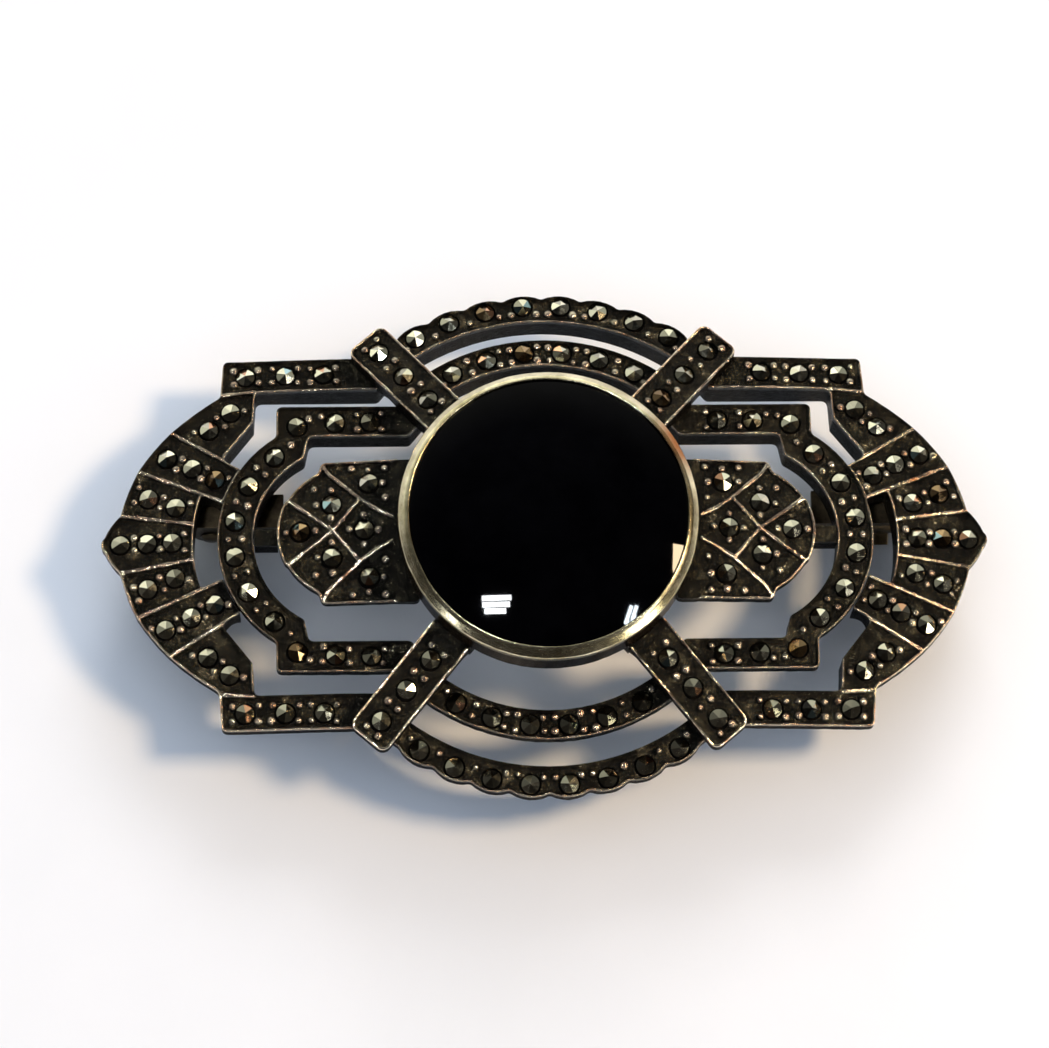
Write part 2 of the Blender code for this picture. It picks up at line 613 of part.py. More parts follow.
def main():
    for old in list(bpy.data.objects):
        bpy.data.objects.remove(old)

    casting = material("oxidised_silver", (0.16, 0.145, 0.125), 0.42, 1.0)
    bright = material("worn_silver", (0.62, 0.58, 0.48), 0.28, 1.0)
    wire = material("pin_silver", (0.55, 0.53, 0.48), 0.3, 1.0)
    onyx = material("black_onyx", (0.006, 0.006, 0.007), 0.04, 0.0)
    marcasite = material("marcasite", (0.42, 0.4, 0.34), 0.18, 1.0)

    pairs = (
        (end_fan_mesh(), "end_fan_right", "end_fan_left"),
        (outer_arc_mesh(), "outer_arc_top", "outer_arc_bottom"),
        (ring_mesh(), "ring_right", "ring_left"),
        (inner_arc_mesh(), "inner_arc_top", "inner_arc_bottom"),
        (shield_mesh(), "shield_right", "shield_left"),
    )
    for mesh, first, second in pairs:
        place(first, mesh, casting)
        place(second, mesh, casting, turn=180)

    strap = strap_mesh()
    corners = (("top_right", STRAP_ANGLE), ("top_left", 180 - STRAP_ANGLE),
               ("bottom_left", 180 + STRAP_ANGLE), ("bottom_right", -STRAP_ANGLE))
    for corner, angle in corners:
        place(f"strap_{corner}", strap, casting, turn=angle)

    place("bezel_cup", bezel_mesh(), bright, smooth=35)
    place("onyx_cabochon", onyx_mesh(), onyx, smooth=35)

    stone = marcasite_mesh()
    for corner, angle in corners:
        spin = Matrix.Rotation(radians(angle), 4, "Z")
        place_marcasites(f"strap_{corner}_marcasite", [spin @ p for p in strap_places()], stone, marcasite)
    level_bar = flat_places(BAR_STONES, BAND_TOP_Z)
    for side, bar, shield in (("right", level_bar, shield_places()),
                              ("left", half_turned(level_bar), half_turned(shield_places()))):
        place_marcasites(f"bar_{side}_marcasite", bar, stone, marcasite)
        place_marcasites(f"shield_{side}_marcasite", shield, stone, marcasite)

    hinge_axis = (HINGE_X, PIN_Y, PIN_AXIS_Z)
    catch_axis = (CATCH_X, PIN_Y, PIN_AXIS_Z)
    place("pin_hinge_bracket", hinge_bracket_mesh(), bright, hinge_axis, smooth=35)
    place("pin_hinge_rivet", rivet_mesh(), bright, hinge_axis, smooth=35)
    place("pin_stem", pin_mesh(), wire, hinge_axis, smooth=35)
    place("catch_body", catch_body_mesh(), bright, catch_axis, smooth=35)
    place("catch_sleeve", catch_sleeve_mesh(), bright, catch_axis, smooth=35)


main()
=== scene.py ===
"""Looks of the marcasite and onyx brooch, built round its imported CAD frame.

Every casting is rebuilt from its CAD node: the face's outline and the drilled seats are read from the
node's mesh, then a fine face is laid over it with rims, ridges, grains and rough cast ground. Work is
done in millimetres; meshes are made in metres.
"""
from math import ceil, cos, pi, radians, sin, sqrt

import bmesh
import bpy
import numpy as np
from mathutils import Matrix, Vector
from mathutils.bvhtree import BVHTree
from mathutils.geometry import delaunay_2d_cdt


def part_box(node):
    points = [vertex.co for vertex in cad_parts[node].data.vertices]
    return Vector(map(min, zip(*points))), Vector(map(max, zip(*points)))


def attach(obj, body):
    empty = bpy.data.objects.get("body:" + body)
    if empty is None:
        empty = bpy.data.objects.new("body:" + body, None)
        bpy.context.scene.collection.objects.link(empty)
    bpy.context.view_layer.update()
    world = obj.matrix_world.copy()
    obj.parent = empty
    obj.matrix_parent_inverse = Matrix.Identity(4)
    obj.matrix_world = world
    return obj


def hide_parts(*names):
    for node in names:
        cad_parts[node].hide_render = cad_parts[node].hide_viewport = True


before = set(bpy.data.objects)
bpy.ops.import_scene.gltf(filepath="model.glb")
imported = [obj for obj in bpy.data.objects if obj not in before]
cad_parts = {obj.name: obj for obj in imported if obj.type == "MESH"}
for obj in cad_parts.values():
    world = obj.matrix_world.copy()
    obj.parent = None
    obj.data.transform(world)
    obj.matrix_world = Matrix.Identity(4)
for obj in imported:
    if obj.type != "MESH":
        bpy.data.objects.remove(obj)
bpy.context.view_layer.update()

MM = 0.001

# Lengths are in millimetres, apart from those of the camera, lamps and floor; angles are in degrees.
# A casting: how far its ground lies below the rims, how wide rims and ridges are at the top and at the foot,
# the seats of the stones, and how far grains keep from stones
FIELD_DEPTH = 0.17
RIM_WIDTH = 0.09
RIM_SLOPE = 0.12
RIDGE_TOP = 0.07
RIDGE_HALF = 0.17
EDGE_ROUND = 0.06
EDGE_UNEVENNESS = 0.02
CORNER_RADIUS = 0.4
CORNER_TURN = 35
SEAT_RADIUS = 0.6
SEAT_FLOOR = 0.42
GRAIN_RADIUS = 0.28
GRAIN_CLEARANCE = 0.77
GRAIN_REACH = 0.76
# Stones this close are neighbours with grains between them; a gap this wide has grains at both its ends
NEIGHBOUR_GAP = 2.75
WIDE_GAP = 1.9
# Castings have no rim where the bezel covers them
COLLAR_RADIUS = 9.3
# How bright silver is worn: on grains, and on each kind of casting. Rims that face away from the viewer get
# painted shade, a darkening that stands in for how light falls on them, apart from those of the well rubbed
# raised castings
GRAIN_WEAR = 1.0
FAR_RIM_PAINTED_SHADE = 0.45
RAISED_FAR_RIM_PAINTED_SHADE = 0.1
POLISH = {"strap": 1.3, "shield": 1.1, "end_fan": 1.0, "ring": 0.9, "outer_arc": 0.85, "inner_arc": 0.85}

# Mesh spacings: along an outline, over a face, over a back, down a wall, and the least gap between corners
BORDER_STEP = 0.11
RIM_STEP = 0.1
GRID = 0.12
BACK_GRID = 0.4
WALL_STEP = 0.28
LEAST_GAP = 0.034

# The outer castings rise towards the middle, and their outer edges are thin and cut under
DOME_RISE = 1.6
DOME_LENGTH = 25.0
DOME_WIDTH = 15.0
DOME_EDGE = {"end_fan": 0.93, "outer_arc": 0.91, "inner_arc": 0.58}
THIN_EDGE = 0.7
UNDERCUT = 0.5

# Marcasites
STONE_RADIUS = 0.51
STONE_SIDES = 36
CROWN_RISE = 0.32
STONE_SINK = 0.1
GIRDLE_DEPTH = 0.1
CULET_RADIUS = 0.3
CULET_DEPTH = 0.28
STONE_LEAN = 0.08

# Colours of marcasite facets, and the shares of stones or facets that have the rarer ones; the orange and
# blue facets are painted glints, coloured flashes put into the facets' colour
PALE_PYRITE = np.array([0.84, 0.8, 0.62])
BROWN_PYRITE = np.array([0.5, 0.34, 0.18])
ORANGE_PAINTED_GLINT = np.array([0.75, 0.42, 0.25])
BLUE_PAINTED_GLINT = np.array([0.42, 0.6, 0.62])
BROWN_STONES = 0.12
ORANGE_GLINT_FACETS = 0.03
BLUE_GLINT_FACETS = 0.015

# Bezel: its lip's height over the shoulder, its ledge, the rounding of its corners, the heights between
# which its wall goes from clean to painted shade, darker and without reflection, and the middle of a stain
BEZEL_LIP = 0.53
LEDGE_WIDTH = 1.4
LEDGE_HEIGHT = 0.6
BEZEL_ROUND = 0.07
BEZEL_SHADE = (9.95, 9.4)
BEZEL_STAIN = (7.6, 4.4, 10.2)
BEZEL_UNEVENNESS = 0.012

# Onyx: how much of its edge the lip hides, from the side and from above, and the steps of its dome
ONYX_EDGE_IN = 0.17
ONYX_EDGE_DOWN = 0.15
DOME_STEPS = 40

# How far the edges of the pin and catch parts are broken
BROKEN_EDGE = 0.04

# The camera: tilt, turn and roll from straight above, distance and aim in metres, and focal length in
# sensor widths; then half the floor's width in metres
VIEW_TILT = 17.7
VIEW_TURN = 1.93
VIEW_ROLL = 0.99
VIEW_DISTANCE = 0.25397
VIEW_AIM = (-0.00129, 0.00011, 0.00784)
LENS_TO_SENSOR = 4495 / 1049
FLOOR_HALF = 0.6

CASTINGS = ["end_fan_right", "end_fan_left", "outer_arc_top", "outer_arc_bottom", "ring_right", "ring_left",
            "inner_arc_top", "inner_arc_bottom", "strap_top_right", "strap_top_left", "strap_bottom_left",
            "strap_bottom_right", "shield_right", "shield_left"]

# Ridges of the right end fan above the X axis: under the bar, then between the cells
FAN_RIDGES = [[(18.6, 8.93), (16.6, 9.1)], [(21.4, 6.68), (17.3, 4.2)], [(23.22, 4.36), (18.3, 2.3)],
              [(24.2, 1.7), (20.05, 1.05)]]
# Ridges of the right shield above the X axis: one that runs in from the corner, and the crossing pair
SHIELD_RIDGES = [[(12.8, 4.1), (12.3, 3.35), (11.3, 2.48), (10.55, 1.8), (9.6, 1.15), (8.75, 0.7)],
                 [(14.68, 1.9), (12.1, 0.0), (10.65, -1.75)]]
# How much lower a shield is 1 mm from its middle line
SHIELD_CROWN = 0.02


# ---- reading the frame

def node_triangles(node):
    """A CAD node's merged corners in millimetres, and its triangles."""
    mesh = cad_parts[node].data
    count = len(mesh.vertices)
    raw = np.empty(count * 3, dtype=np.float64)
    mesh.vertices.foreach_get("co", raw)
    raw = raw.reshape(-1, 3) / MM
    keys = np.round(raw, 3)
    corners, back = np.unique(keys, axis=0, return_inverse=True)
    back = back.ravel()
    mesh.calc_loop_triangles()
    tris = np.empty(len(mesh.loop_triangles) * 3, dtype=np.int64)
    mesh.loop_triangles.foreach_get("vertices", tris)
    tris = back[tris.reshape(-1, 3)]
    keep = (tris[:, 0] != tris[:, 1]) & (tris[:, 1] != tris[:, 2]) & (tris[:, 0] != tris[:, 2])
    return corners, tris[keep]


def loops_of(edges):
    """Ordered loops of directed edges."""
    follow = {}
    for a, b in edges:
        follow.setdefault(a, []).append(b)
    loops = []
    while follow:
        start = next(iter(follow))
        loop = [start]
        here = start
        while True:
            nexts = follow.get(here)
            if not nexts:
                break
            there = nexts.pop()
            if not nexts:
                del follow[here]
            if there == start:
                break
            loop.append(there)
            here = there
        loops.append(loop)
    return loops


def upward_patches(node):
    """The node's level or gently sloping faces: each with its outline, planes and area."""
    corners, tris = node_triangles(node)
    a, b, c = (corners[tris[:, i]] for i in range(3))
    cross = np.cross(b - a, c - a)
    length = np.linalg.norm(cross, axis=1)
    area = length / 2
    normal = cross / np.maximum(length, 1e-12)[:, None]
    chosen = np.nonzero((normal[:, 2] > 0.9) & (area > 1e-7))[0]
    by_edge = {}
    for t in chosen:
        for i in range(3):
            edge = (int(tris[t, i]), int(tris[t, (i + 1) % 3]))
            by_edge[edge] = int(t)
    seen = set()
    patches = []
    for t in chosen:
        if int(t) in seen:
            continue
        stack = [int(t)]
        seen.add(int(t))
        members = []
        while stack:
            m = stack.pop()
            members.append(m)
            for i in range(3):
                other = by_edge.get((int(tris[m, (i + 1) % 3]), int(tris[m, i])))
                if other is not None and other not in seen:
                    seen.add(other)
                    stack.append(other)
        inside = set(members)
        edges = []
        for m in members:
            for i in range(3):
                edge = (int(tris[m, i]), int(tris[m, (i + 1) % 3]))
                other = by_edge.get((edge[1], edge[0]))
                if other not in inside:
                    edges.append(edge)
        loops = [corners[loop] for loop in loops_of(edges)]
        outer = max(loops, key=lambda loop: abs(loop_area(loop)))
        planes = []
        for m in members:
            if area[m] < 0.02:
                continue
            n = normal[m]
            offset = float(n @ corners[tris[m, 0]])
            if not any(abs(n - p[0]).max() < 0.01 for p in planes):
                planes.append((n, offset))
        patches.append({"outline": outer, "planes": planes, "area": float(area[members].sum())})
    return patches


def loop_area(loop):
    """Signed area of a loop seen from above."""
    x, y = loop[:, 0], loop[:, 1]
    return 0.5 * float(np.sum(x * np.roll(y, -1) - np.roll(x, -1) * y))


def flat_outline(patch):
    """A patch's outline seen from above, counter-clockwise."""
    outline = patch["outline"][:, :2]
    return outline[::-1] if loop_area(patch["outline"]) < 0 else outline


def plane_height(planes, xy):
    """Height of the lowest of the planes at each place."""
    heights = [(offset - n[0] * xy[:, 0] - n[1] * xy[:, 1]) / n[2] for n, offset in planes]
    return np.min(heights, axis=0)


def casting_face(node):
    """The main faces of a casting, and the places of its marcasites as (centre on the face, normal)."""
    faces = []
    seats = []
    for patch in upward_patches(node):
        is_seat = 0.8 < patch["area"] < 1.3 and len(patch["outline"]) <= 16
        if is_seat:
            seats.append((patch["outline"].mean(axis=0), patch["planes"][0][0]))
        elif patch["area"] > 0.6:
            faces.append(patch)
    faces.sort(key=lambda patch: -patch["area"])
    main = faces[0]
    main["outline"] = softened(main["outline"])
    places = []
    for centre, normal in seats:
        gap = plane_height(main["planes"], centre[None, :2])[0] - centre[2]
        top = centre + normal * gap * normal[2]
        places.append((top, normal))
    places.sort(key=lambda place: (round(float(np.arctan2(place[0][1], place[0][0])), 4)))
    return faces, places


# ---- making faces

def ripple(xy, wavelength, seed):
    """Smooth pseudo-random values from -1 to 1."""
    random = np.random.default_rng(seed)
    total = np.zeros(len(xy))
    for _ in range(9):
        angle = random.uniform(0, 2 * pi)
        wave = 2 * pi / (wavelength * random.uniform(0.6, 1.6))
        total += np.sin(wave * (xy[:, 0] * cos(angle) + xy[:, 1] * sin(angle)) + random.uniform(0, 2 * pi))
    return total / 4.5


def resampled(loop, step):
    """A closed loop with corners kept and long sides divided."""
    points = []
    for i in range(len(loop)):
        a, b = loop[i], loop[(i + 1) % len(loop)]
        parts = max(1, int(ceil(np.linalg.norm(b - a) / step)))
        for j in range(parts):
            points.append(a + (b - a) * j / parts)
    return np.array(points)


def softened(loop):
    """A closed loop with its sharp corners, outer and inner, turned into small arcs."""
    result = []
    for i in range(len(loop)):
        before, here, after = loop[i - 1], loop[i], loop[(i + 1) % len(loop)]
        back, on = before - here, after - here
        back_length, on_length = np.linalg.norm(back), np.linalg.norm(on)
        turn = pi - np.arccos(np.clip(back @ on / (back_length * on_length), -1, 1))
        if turn < radians(CORNER_TURN):
            result.append(here)
            continue
        cut = min(CORNER_RADIUS * np.tan(turn / 2), 0.45 * back_length, 0.45 * on_length)
        a, b = here + back / back_length * cut, here + on / on_length * cut
        for t in np.linspace(0, 1, 6):
            result.append((1 - t) ** 2 * a + 2 * t * (1 - t) * here + t * t * b)
    return np.array(result)


def drawn_inside(points, loop, cuts):
    """Points moved until each is at least as far from every side of the loop as that side's cut."""
    points = points.copy()
    for _ in range(4):
        worst = np.full(len(points), 1e-4)
        shift = np.zeros_like(points)
        for a, b, cut in zip(loop, np.roll(loop, -1, axis=0), cuts):
            along = b - a
            t = np.clip(((points - a) @ along) / max(float(along @ along), 1e-12), 0, 1)
            away = points - a - t[:, None] * along
            reach = np.maximum(np.linalg.norm(away, axis=1), 1e-6)
            short = cut - reach
            shift = np.where((short > worst)[:, None], away / reach[:, None] * short[:, None], shift)
            worst = np.maximum(worst, short)
        points += shift
    return points


def segment_distance(points, starts, ends, with_index=False):
    """Distance of each point from the nearest of the segments, and on request which segment that is."""
    best = np.full(len(points), 1e9)
    nearest = np.zeros(len(points), dtype=int)
    for number, (a, b) in enumerate(zip(starts, ends)):
        along = b - a
        t = np.clip(((points - a) @ along) / max(float(along @ along), 1e-12), 0, 1)
        away = np.hypot(*(points - a - t[:, None] * along).T)
        nearest[away < best] = number
        best = np.minimum(best, away)
    return (best, nearest) if with_index else best


def inside_loop(points, loop):
    """Which points lie inside a loop."""
    x, y = points[:, 0], points[:, 1]
    result = np.zeros(len(points), dtype=bool)
    for i in range(len(loop)):
        x0, y0 = loop[i - 1]
        x1, y1 = loop[i]
        crosses = (y0 > y) != (y1 > y)
        if y0 != y1:
            result ^= crosses & (x < (x1 - x0) * (y - y0) / (y1 - y0) + x0)
    return result


def thinned(points, spacing):
    """Points in order of importance, with any that fall too near an earlier one left out."""
    cells = {}
    kept = []
    for p in points:
        column, row = int(p[0] // spacing), int(p[1] // spacing)
        around = [q for i in (-1, 0, 1) for j in (-1, 0, 1) for q in cells.get((column + i, row + j), ())]
        if all((p[0] - q[0]) ** 2 + (p[1] - q[1]) ** 2 >= spacing * spacing for q in around):
            cells.setdefault((column, row), []).append(p)
            kept.append(p)
    return np.array(kept)


def circle_points(centre, radius, count):
    """Evenly spaced places round a circle."""
    angles = np.arange(count) * 2 * pi / count
    return np.stack([centre[0] + radius * np.cos(angles), centre[1] + radius * np.sin(angles)], axis=1)


def grid_points(loop, step, seed):
    """Jittered staggered grid over a loop's box."""
    random = np.random.default_rng(seed)
    low, high = loop.min(axis=0), loop.max(axis=0)
    rows = []
    row_step = step * sqrt(3) / 2
    for j in range(int((high[1] - low[1]) / row_step) + 1):
        x = np.arange(low[0] + (j % 2) * step / 2, high[0], step)
        rows.append(np.stack([x, np.full(len(x), low[1] + j * row_step)], axis=1))
    points = np.concatenate(rows)
    return points + random.uniform(-0.12, 0.12, points.shape) * step


def triangulated(outline, inner_points):
    """Constrained triangles of a loop and points inside it: the corners, triangles and boundary loop."""
    all_points = [Vector(p) for p in outline] + [Vector(p) for p in inner_points]
    count = len(outline)
    verts, _, faces, origins, _, _ = delaunay_2d_cdt(all_points, [], [list(range(count))], 0, 1e-5, True)
    place = {}
    for corner, sources in enumerate(origins):
        for source in sources:
            place[source] = corner
    loop = [place[i] for i in range(count)]
    border = {(loop[i - 1], loop[i]) for i in range(count)}
    by_edge = {(f[i - 1], f[i]): n for n, f in enumerate(faces) for i in range(3)}
    inside = {by_edge[edge] for edge in border if edge in by_edge}
    stack = list(inside)
    while stack:
        f = faces[stack.pop()]
        for i in range(3):
            other = by_edge.get((f[i], f[i - 1]))
            if (f[i - 1], f[i]) not in border and other is not None and other not in inside:
                inside.add(other)
                stack.append(other)
    return np.array([(v.x, v.y) for v in verts]), [faces[n] for n in sorted(inside)], loop


def smooth_step(t):
    """0 below 0, 1 above 1, and a smooth rise between."""
    t = np.clip(t, 0, 1)
    return t * t * (3 - 2 * t)


def dome_lift(node, xy):
    """How far a casting's face stands above its CAD level."""
    for kind, edge in DOME_EDGE.items():
        if node.startswith(kind):
            away = (xy[:, 0] / DOME_LENGTH) ** 2 + (xy[:, 1] / DOME_WIDTH) ** 2
            return DOME_RISE * np.clip(edge - away, -0.1, 0.35)
    return np.zeros(len(xy))


def outward_of(loop):
    """Outward directions along a counter-clockwise loop of places."""
    tangent = np.roll(loop, -1, axis=0) - np.roll(loop, 1, axis=0)
    tangent /= np.maximum(np.linalg.norm(tangent, axis=1), 1e-9)[:, None]
    return np.stack([tangent[:, 1], -tangent[:, 0]], axis=1)


def inner_share(loop, outward):
    """1 where a wall looks towards the middle of the brooch, 0 where it looks away from it."""
    away = loop / np.array([DOME_LENGTH ** 2, DOME_WIDTH ** 2])
    away /= np.maximum(np.linalg.norm(away, axis=1), 1e-9)[:, None]
    share = smooth_step((0.3 - np.sum(away * outward, axis=1)) / 0.6)
    spread = range(-5, 6)
    return sum(np.roll(share, k) for k in spread) / len(spread)


def relief(xy, outline, ridges, seats, grains, seed, polish):
    """Height of the worked face over the flat one, and how much its silver is worn bright, less on
    far-facing rims by painted shade and below zero in the oxide-black seats.
    """
    starts, ends = outline, np.roll(outline, -1, axis=0)
    free = np.hypot(*((starts + ends) / 2).T) > COLLAR_RADIUS
    edge, nearest = segment_distance(xy, starts[free], ends[free], with_index=True)
    along = (ends - starts)[free]
    far_side = -along[:, 0] / np.maximum(np.linalg.norm(along, axis=1), 1e-9)
    # Rims that face away from the viewer are darkened: painted shade for how light falls on them
    far_rim_shade_factor = 1 - (RAISED_FAR_RIM_PAINTED_SHADE if polish > 1 else FAR_RIM_PAINTED_SHADE) * smooth_step(far_side[nearest] * 2)
    uneven = EDGE_UNEVENNESS * ripple(xy, 1.7, seed + 7)
    fall = smooth_step((edge - RIM_WIDTH - uneven) / RIM_SLOPE)
    height = -FIELD_DEPTH * fall
    wear_and_shade = (1 - fall) * far_rim_shade_factor
    if ridges:
        off = segment_distance(xy, *np.array(ridges).transpose(1, 0, 2)) + uneven
        up = smooth_step((RIDGE_HALF - off) / (RIDGE_HALF - RIDGE_TOP))
        height = np.maximum(height, -FIELD_DEPTH + (FIELD_DEPTH - 0.01) * up)
        wear_and_shade = np.maximum(wear_and_shade, up)
    rough = np.where(wear_and_shade < 0.5, 0.014, 0.009)
    height += rough * (ripple(xy, 0.45, seed) + 0.8 * ripple(xy, 0.9, seed + 4))
    wear_and_shade *= polish
    for grain, size, rise in grains:
        r = np.hypot(xy[:, 0] - grain[0], xy[:, 1] - grain[1]) / size
        dome = np.sqrt(np.clip(1 - r * r, 0, 1))
        top = -FIELD_DEPTH - 0.03 + (rise + 0.03) * dome
        height = np.where(r < 1, np.maximum(height, top), height)
        wear_and_shade = np.maximum(wear_and_shade, GRAIN_WEAR * np.clip(dome * 1.5 - 0.3, 0, 1))
    for seat in seats:
        r = np.hypot(xy[:, 0] - seat[0], xy[:, 1] - seat[1])
        down = np.clip((SEAT_RADIUS + 0.025 - r) / 0.05, 0, 1)
        near_grain = np.zeros(len(xy), dtype=bool)
        for grain, size, _ in grains:
            near_grain |= np.hypot(xy[:, 0] - grain[0], xy[:, 1] - grain[1]) < size * 0.9
        down = np.where(near_grain & (r > STONE_RADIUS - 0.06), 0, down)
        height = height * (1 - down) - SEAT_FLOOR * down
        wear_and_shade = wear_and_shade * (1 - down) - down
    round_off = np.clip(1 - edge / EDGE_ROUND, 0, 1)
    height -= EDGE_ROUND * 0.9 * (1 - np.sqrt(np.clip(1 - round_off * round_off, 0, 1)))
    return height, wear_and_shade


def face_points(outline, ridges, seats, grains, seed):
    """Corners for a face: close together along rims, ridges, seats and grains."""
    starts, ends = outline, np.roll(outline, -1, axis=0)
    groups = []
    for grain, size, _ in grains:
        groups.append(np.array([grain]))
        for share, count in ((0.35, 7), (0.65, 12), (0.86, 16), (0.97, 18), (1.05, 18)):
            groups.append(circle_points(grain, size * share, count))
    for seat in seats:
        for radius, count in ((0.5, 20), (0.575, 36), (0.625, 36), (0.68, 36)):
            groups.append(circle_points(seat, radius, count))
    for a, b in ridges:
        a, b = np.array(a), np.array(b)
        along = b - a
        length = np.linalg.norm(along)
        across = np.array([-along[1], along[0]]) / length
        steps = np.linspace(0, 1, max(2, int(length / 0.1)))
        for side in (0.0, RIDGE_TOP, -RIDGE_TOP, 0.12, -0.12, RIDGE_HALF, -RIDGE_HALF):
            groups.append(a + steps[:, None] * along + side * across)
    dense = resampled(outline, RIM_STEP)
    inward = -outward_of(dense)
    for depth in (0.025, 0.06, RIM_WIDTH, RIM_WIDTH + 0.045, RIM_WIDTH + 0.1):
        ring = dense + inward * depth
        ring = ring[segment_distance(ring, starts, ends) > depth - 0.012]
        groups.append(ring)
    groups.append(grid_points(outline, GRID, seed))
    points = np.concatenate(groups)
    points = points[inside_loop(points, outline)]
    points = points[segment_distance(points, starts, ends) > 0.02]
    return thinned(points, LEAST_GAP)


def lowest_surface(node):
    """A function that gives the height of a CAD node's underside below each place."""
    corners, tris = node_triangles(node)
    tree = BVHTree.FromPolygons([tuple(v) for v in corners], [tuple(int(i) for i in t) for t in tris])

    def under(xy, fallback):
        heights = []
        for x, y in xy:
            hit = tree.ray_cast(Vector((x, y, -5.0)), Vector((0, 0, 1)))[0]
            heights.append(hit.z if hit is not None else fallback)
        return np.array(heights)

    return under


def add_face_solid(store, node, patch, ridges, seats, grains, seed, plain=False):
    """Adds one closed solid to the store: the worked face, its walls and its back."""
    outline = flat_outline(patch)
    border = resampled(outline, BORDER_STEP)
    points = face_points(outline, ridges, seats, grains, seed)
    xy, faces, loop = triangulated(border, points)
    base = plane_height(patch["planes"], xy)
    if plain:
        height, wear_and_shade = 0.006 * ripple(xy, 0.5, seed), np.full(len(xy), 0.2)
    else:
        polish = next((share for kind, share in POLISH.items() if node.startswith(kind)), 1.0)
        height, wear_and_shade = relief(xy, outline, ridges, seats, grains, seed, polish)
    crown = -SHIELD_CROWN * xy[:, 1] ** 2 if node.startswith("shield") and not plain else 0.0
    top = np.column_stack([xy, base + height + crown + dome_lift(node, xy)])

    inner = grid_points(outline, BACK_GRID, seed + 1)
    inner = inner[inside_loop(inner, outline)]
    undercut = 0.0 if plain else UNDERCUT
    inner = inner[segment_distance(inner, outline, np.roll(outline, -1, axis=0)) > undercut + 0.15]
    back_xy, back_faces, back_loop = triangulated(border, inner)
    under = lowest_surface(node)
    on_edge = np.zeros(len(back_xy), dtype=bool)
    on_edge[back_loop] = True
    outward = outward_of(back_xy[back_loop])
    cut = undercut * (1 - inner_share(back_xy[back_loop], outward))
    drawn_in = back_xy.copy()
    drawn_in[back_loop] -= outward * np.maximum(cut, 0.01)[:, None]
    drawn_in[back_loop] = drawn_inside(drawn_in[back_loop], back_xy[back_loop], cut)
    nudged = drawn_in.copy()
    nudged[back_loop] -= outward * 0.03
    probe = nudged[~on_edge][:40] if (~on_edge).any() else outline.mean(axis=0)[None]
    lowest = float(np.median(under(probe, 0.0)))
    back_z = under(nudged, lowest)
    dimple = np.where(on_edge, 0.0, 0.03 * ripple(back_xy, 1.4, seed + 2) + 0.035)
    back = np.column_stack([drawn_in, back_z + dimple])

    start = len(store["points"])
    store["points"].extend(top)
    store["wear_and_shade"].extend(wear_and_shade)
    store["faces"].extend([tuple(start + i for i in f) for f in faces])
    back_start = len(store["points"])
    store["points"].extend(back)
    # The back's edge is set below zero: painted shade, like the foot of the walls
    store["wear_and_shade"].extend(np.where(on_edge, -0.6, 0.3 + 0.2 * ripple(back_xy, 1.4, seed + 2)))
    store["faces"].extend([tuple(back_start + i for i in reversed(f)) for f in back_faces])

    bottoms = [back_start + i for i in back_loop]
    tops = np.array([top[i] for i in loop])
    feet = np.array([store["points"][i] for i in bottoms])
    outward = outward_of(tops[:, :2])
    full = tops[:, 2] - feet[:, 2]
    inner_part = np.ones(len(tops)) if plain else inner_share(tops[:, :2], outward)
    depth = np.minimum(THIN_EDGE + (full - THIN_EDGE) * inner_part, full - 0.06)
    rows = max(2, int(ceil(float(np.median(full)) / WALL_STEP)))
    previous = [start + i for i in loop]
    for row in range(1, rows + 1):
        if row < rows:
            share = row / (rows - 1)
            shared = tops.copy()
            shared[:, 2] -= depth * share
            wobble = 0.012 * ripple(shared[:, :2] + share * 3, 0.9, seed + 3) - 0.008
            shared[:, :2] += outward * wobble[:, None]
            here = list(range(len(store["points"]), len(store["points"]) + len(shared)))
            store["points"].extend(shared)
            # Down the walls the value falls below zero: painted shade, black and without reflection towards
            # the foot
            store["wear_and_shade"].extend([max(-0.2 - 2.0 * share, -1.0)] * len(shared))
        else:
            here = bottoms
        count = len(previous)
        for i in range(count):
            j = (i + 1) % count
            store["faces"].append((previous[j], previous[i], here[i], here[j]))
        previous = here


def new_object(name, data):
    """A linked object round a mesh, camera or lamp."""
    made = bpy.data.objects.new(name, data)
    bpy.context.collection.objects.link(made)
    return made


def mesh_piece(name, store, material, smooth_angle=50):
    """An object from stored points in millimetres, with its wear and painted shade kept on its corners."""
    mesh = bpy.data.meshes.new(name)
    points = np.array(store["points"]) * MM
    mesh.from_pydata(points.tolist(), [], store["faces"])
    wear_and_shade = mesh.attributes.new("wear_and_shade", "FLOAT", "POINT")
    wear_and_shade.data.foreach_set("value", np.array(store["wear_and_shade"], dtype=np.float32))
    mesh.materials.append(material)
    mesh.shade_smooth()
    mesh.set_sharp_from_angle(angle=radians(smooth_angle))
    mesh.validate()
    return new_object(name, mesh)


def new_store():
    """An empty set of corners, their wear and painted shade, and faces."""
    return {"points": [], "wear_and_shade": [], "faces": []}


# ---- ridges and grains

def ridges_for(node):
    """The raised lines inside a casting's rim, as segments."""
    if node.startswith("end_fan"):
        lines = FAN_RIDGES
    elif node.startswith("shield"):
        lines = SHIELD_RIDGES
    else:
        return []
    end = -1 if node.endswith("left") else 1
    segments = []
    for line in lines:
        for side in (1, -1):
            points = [(end * x, side * y) for x, y in line]
            segments += list(zip(points, points[1:]))
    return segments


def crosses(a, b, segments):
    """Whether the line from a to b crosses any of the segments."""
    def side(p, q, r):
        return (q[0] - p[0]) * (r[1] - p[1]) - (q[1] - p[1]) * (r[0] - p[0])
    return any(side(a, b, c) * side(a, b, d) < 0 and side(c, d, a) * side(c, d, b) < 0 for c, d in segments)


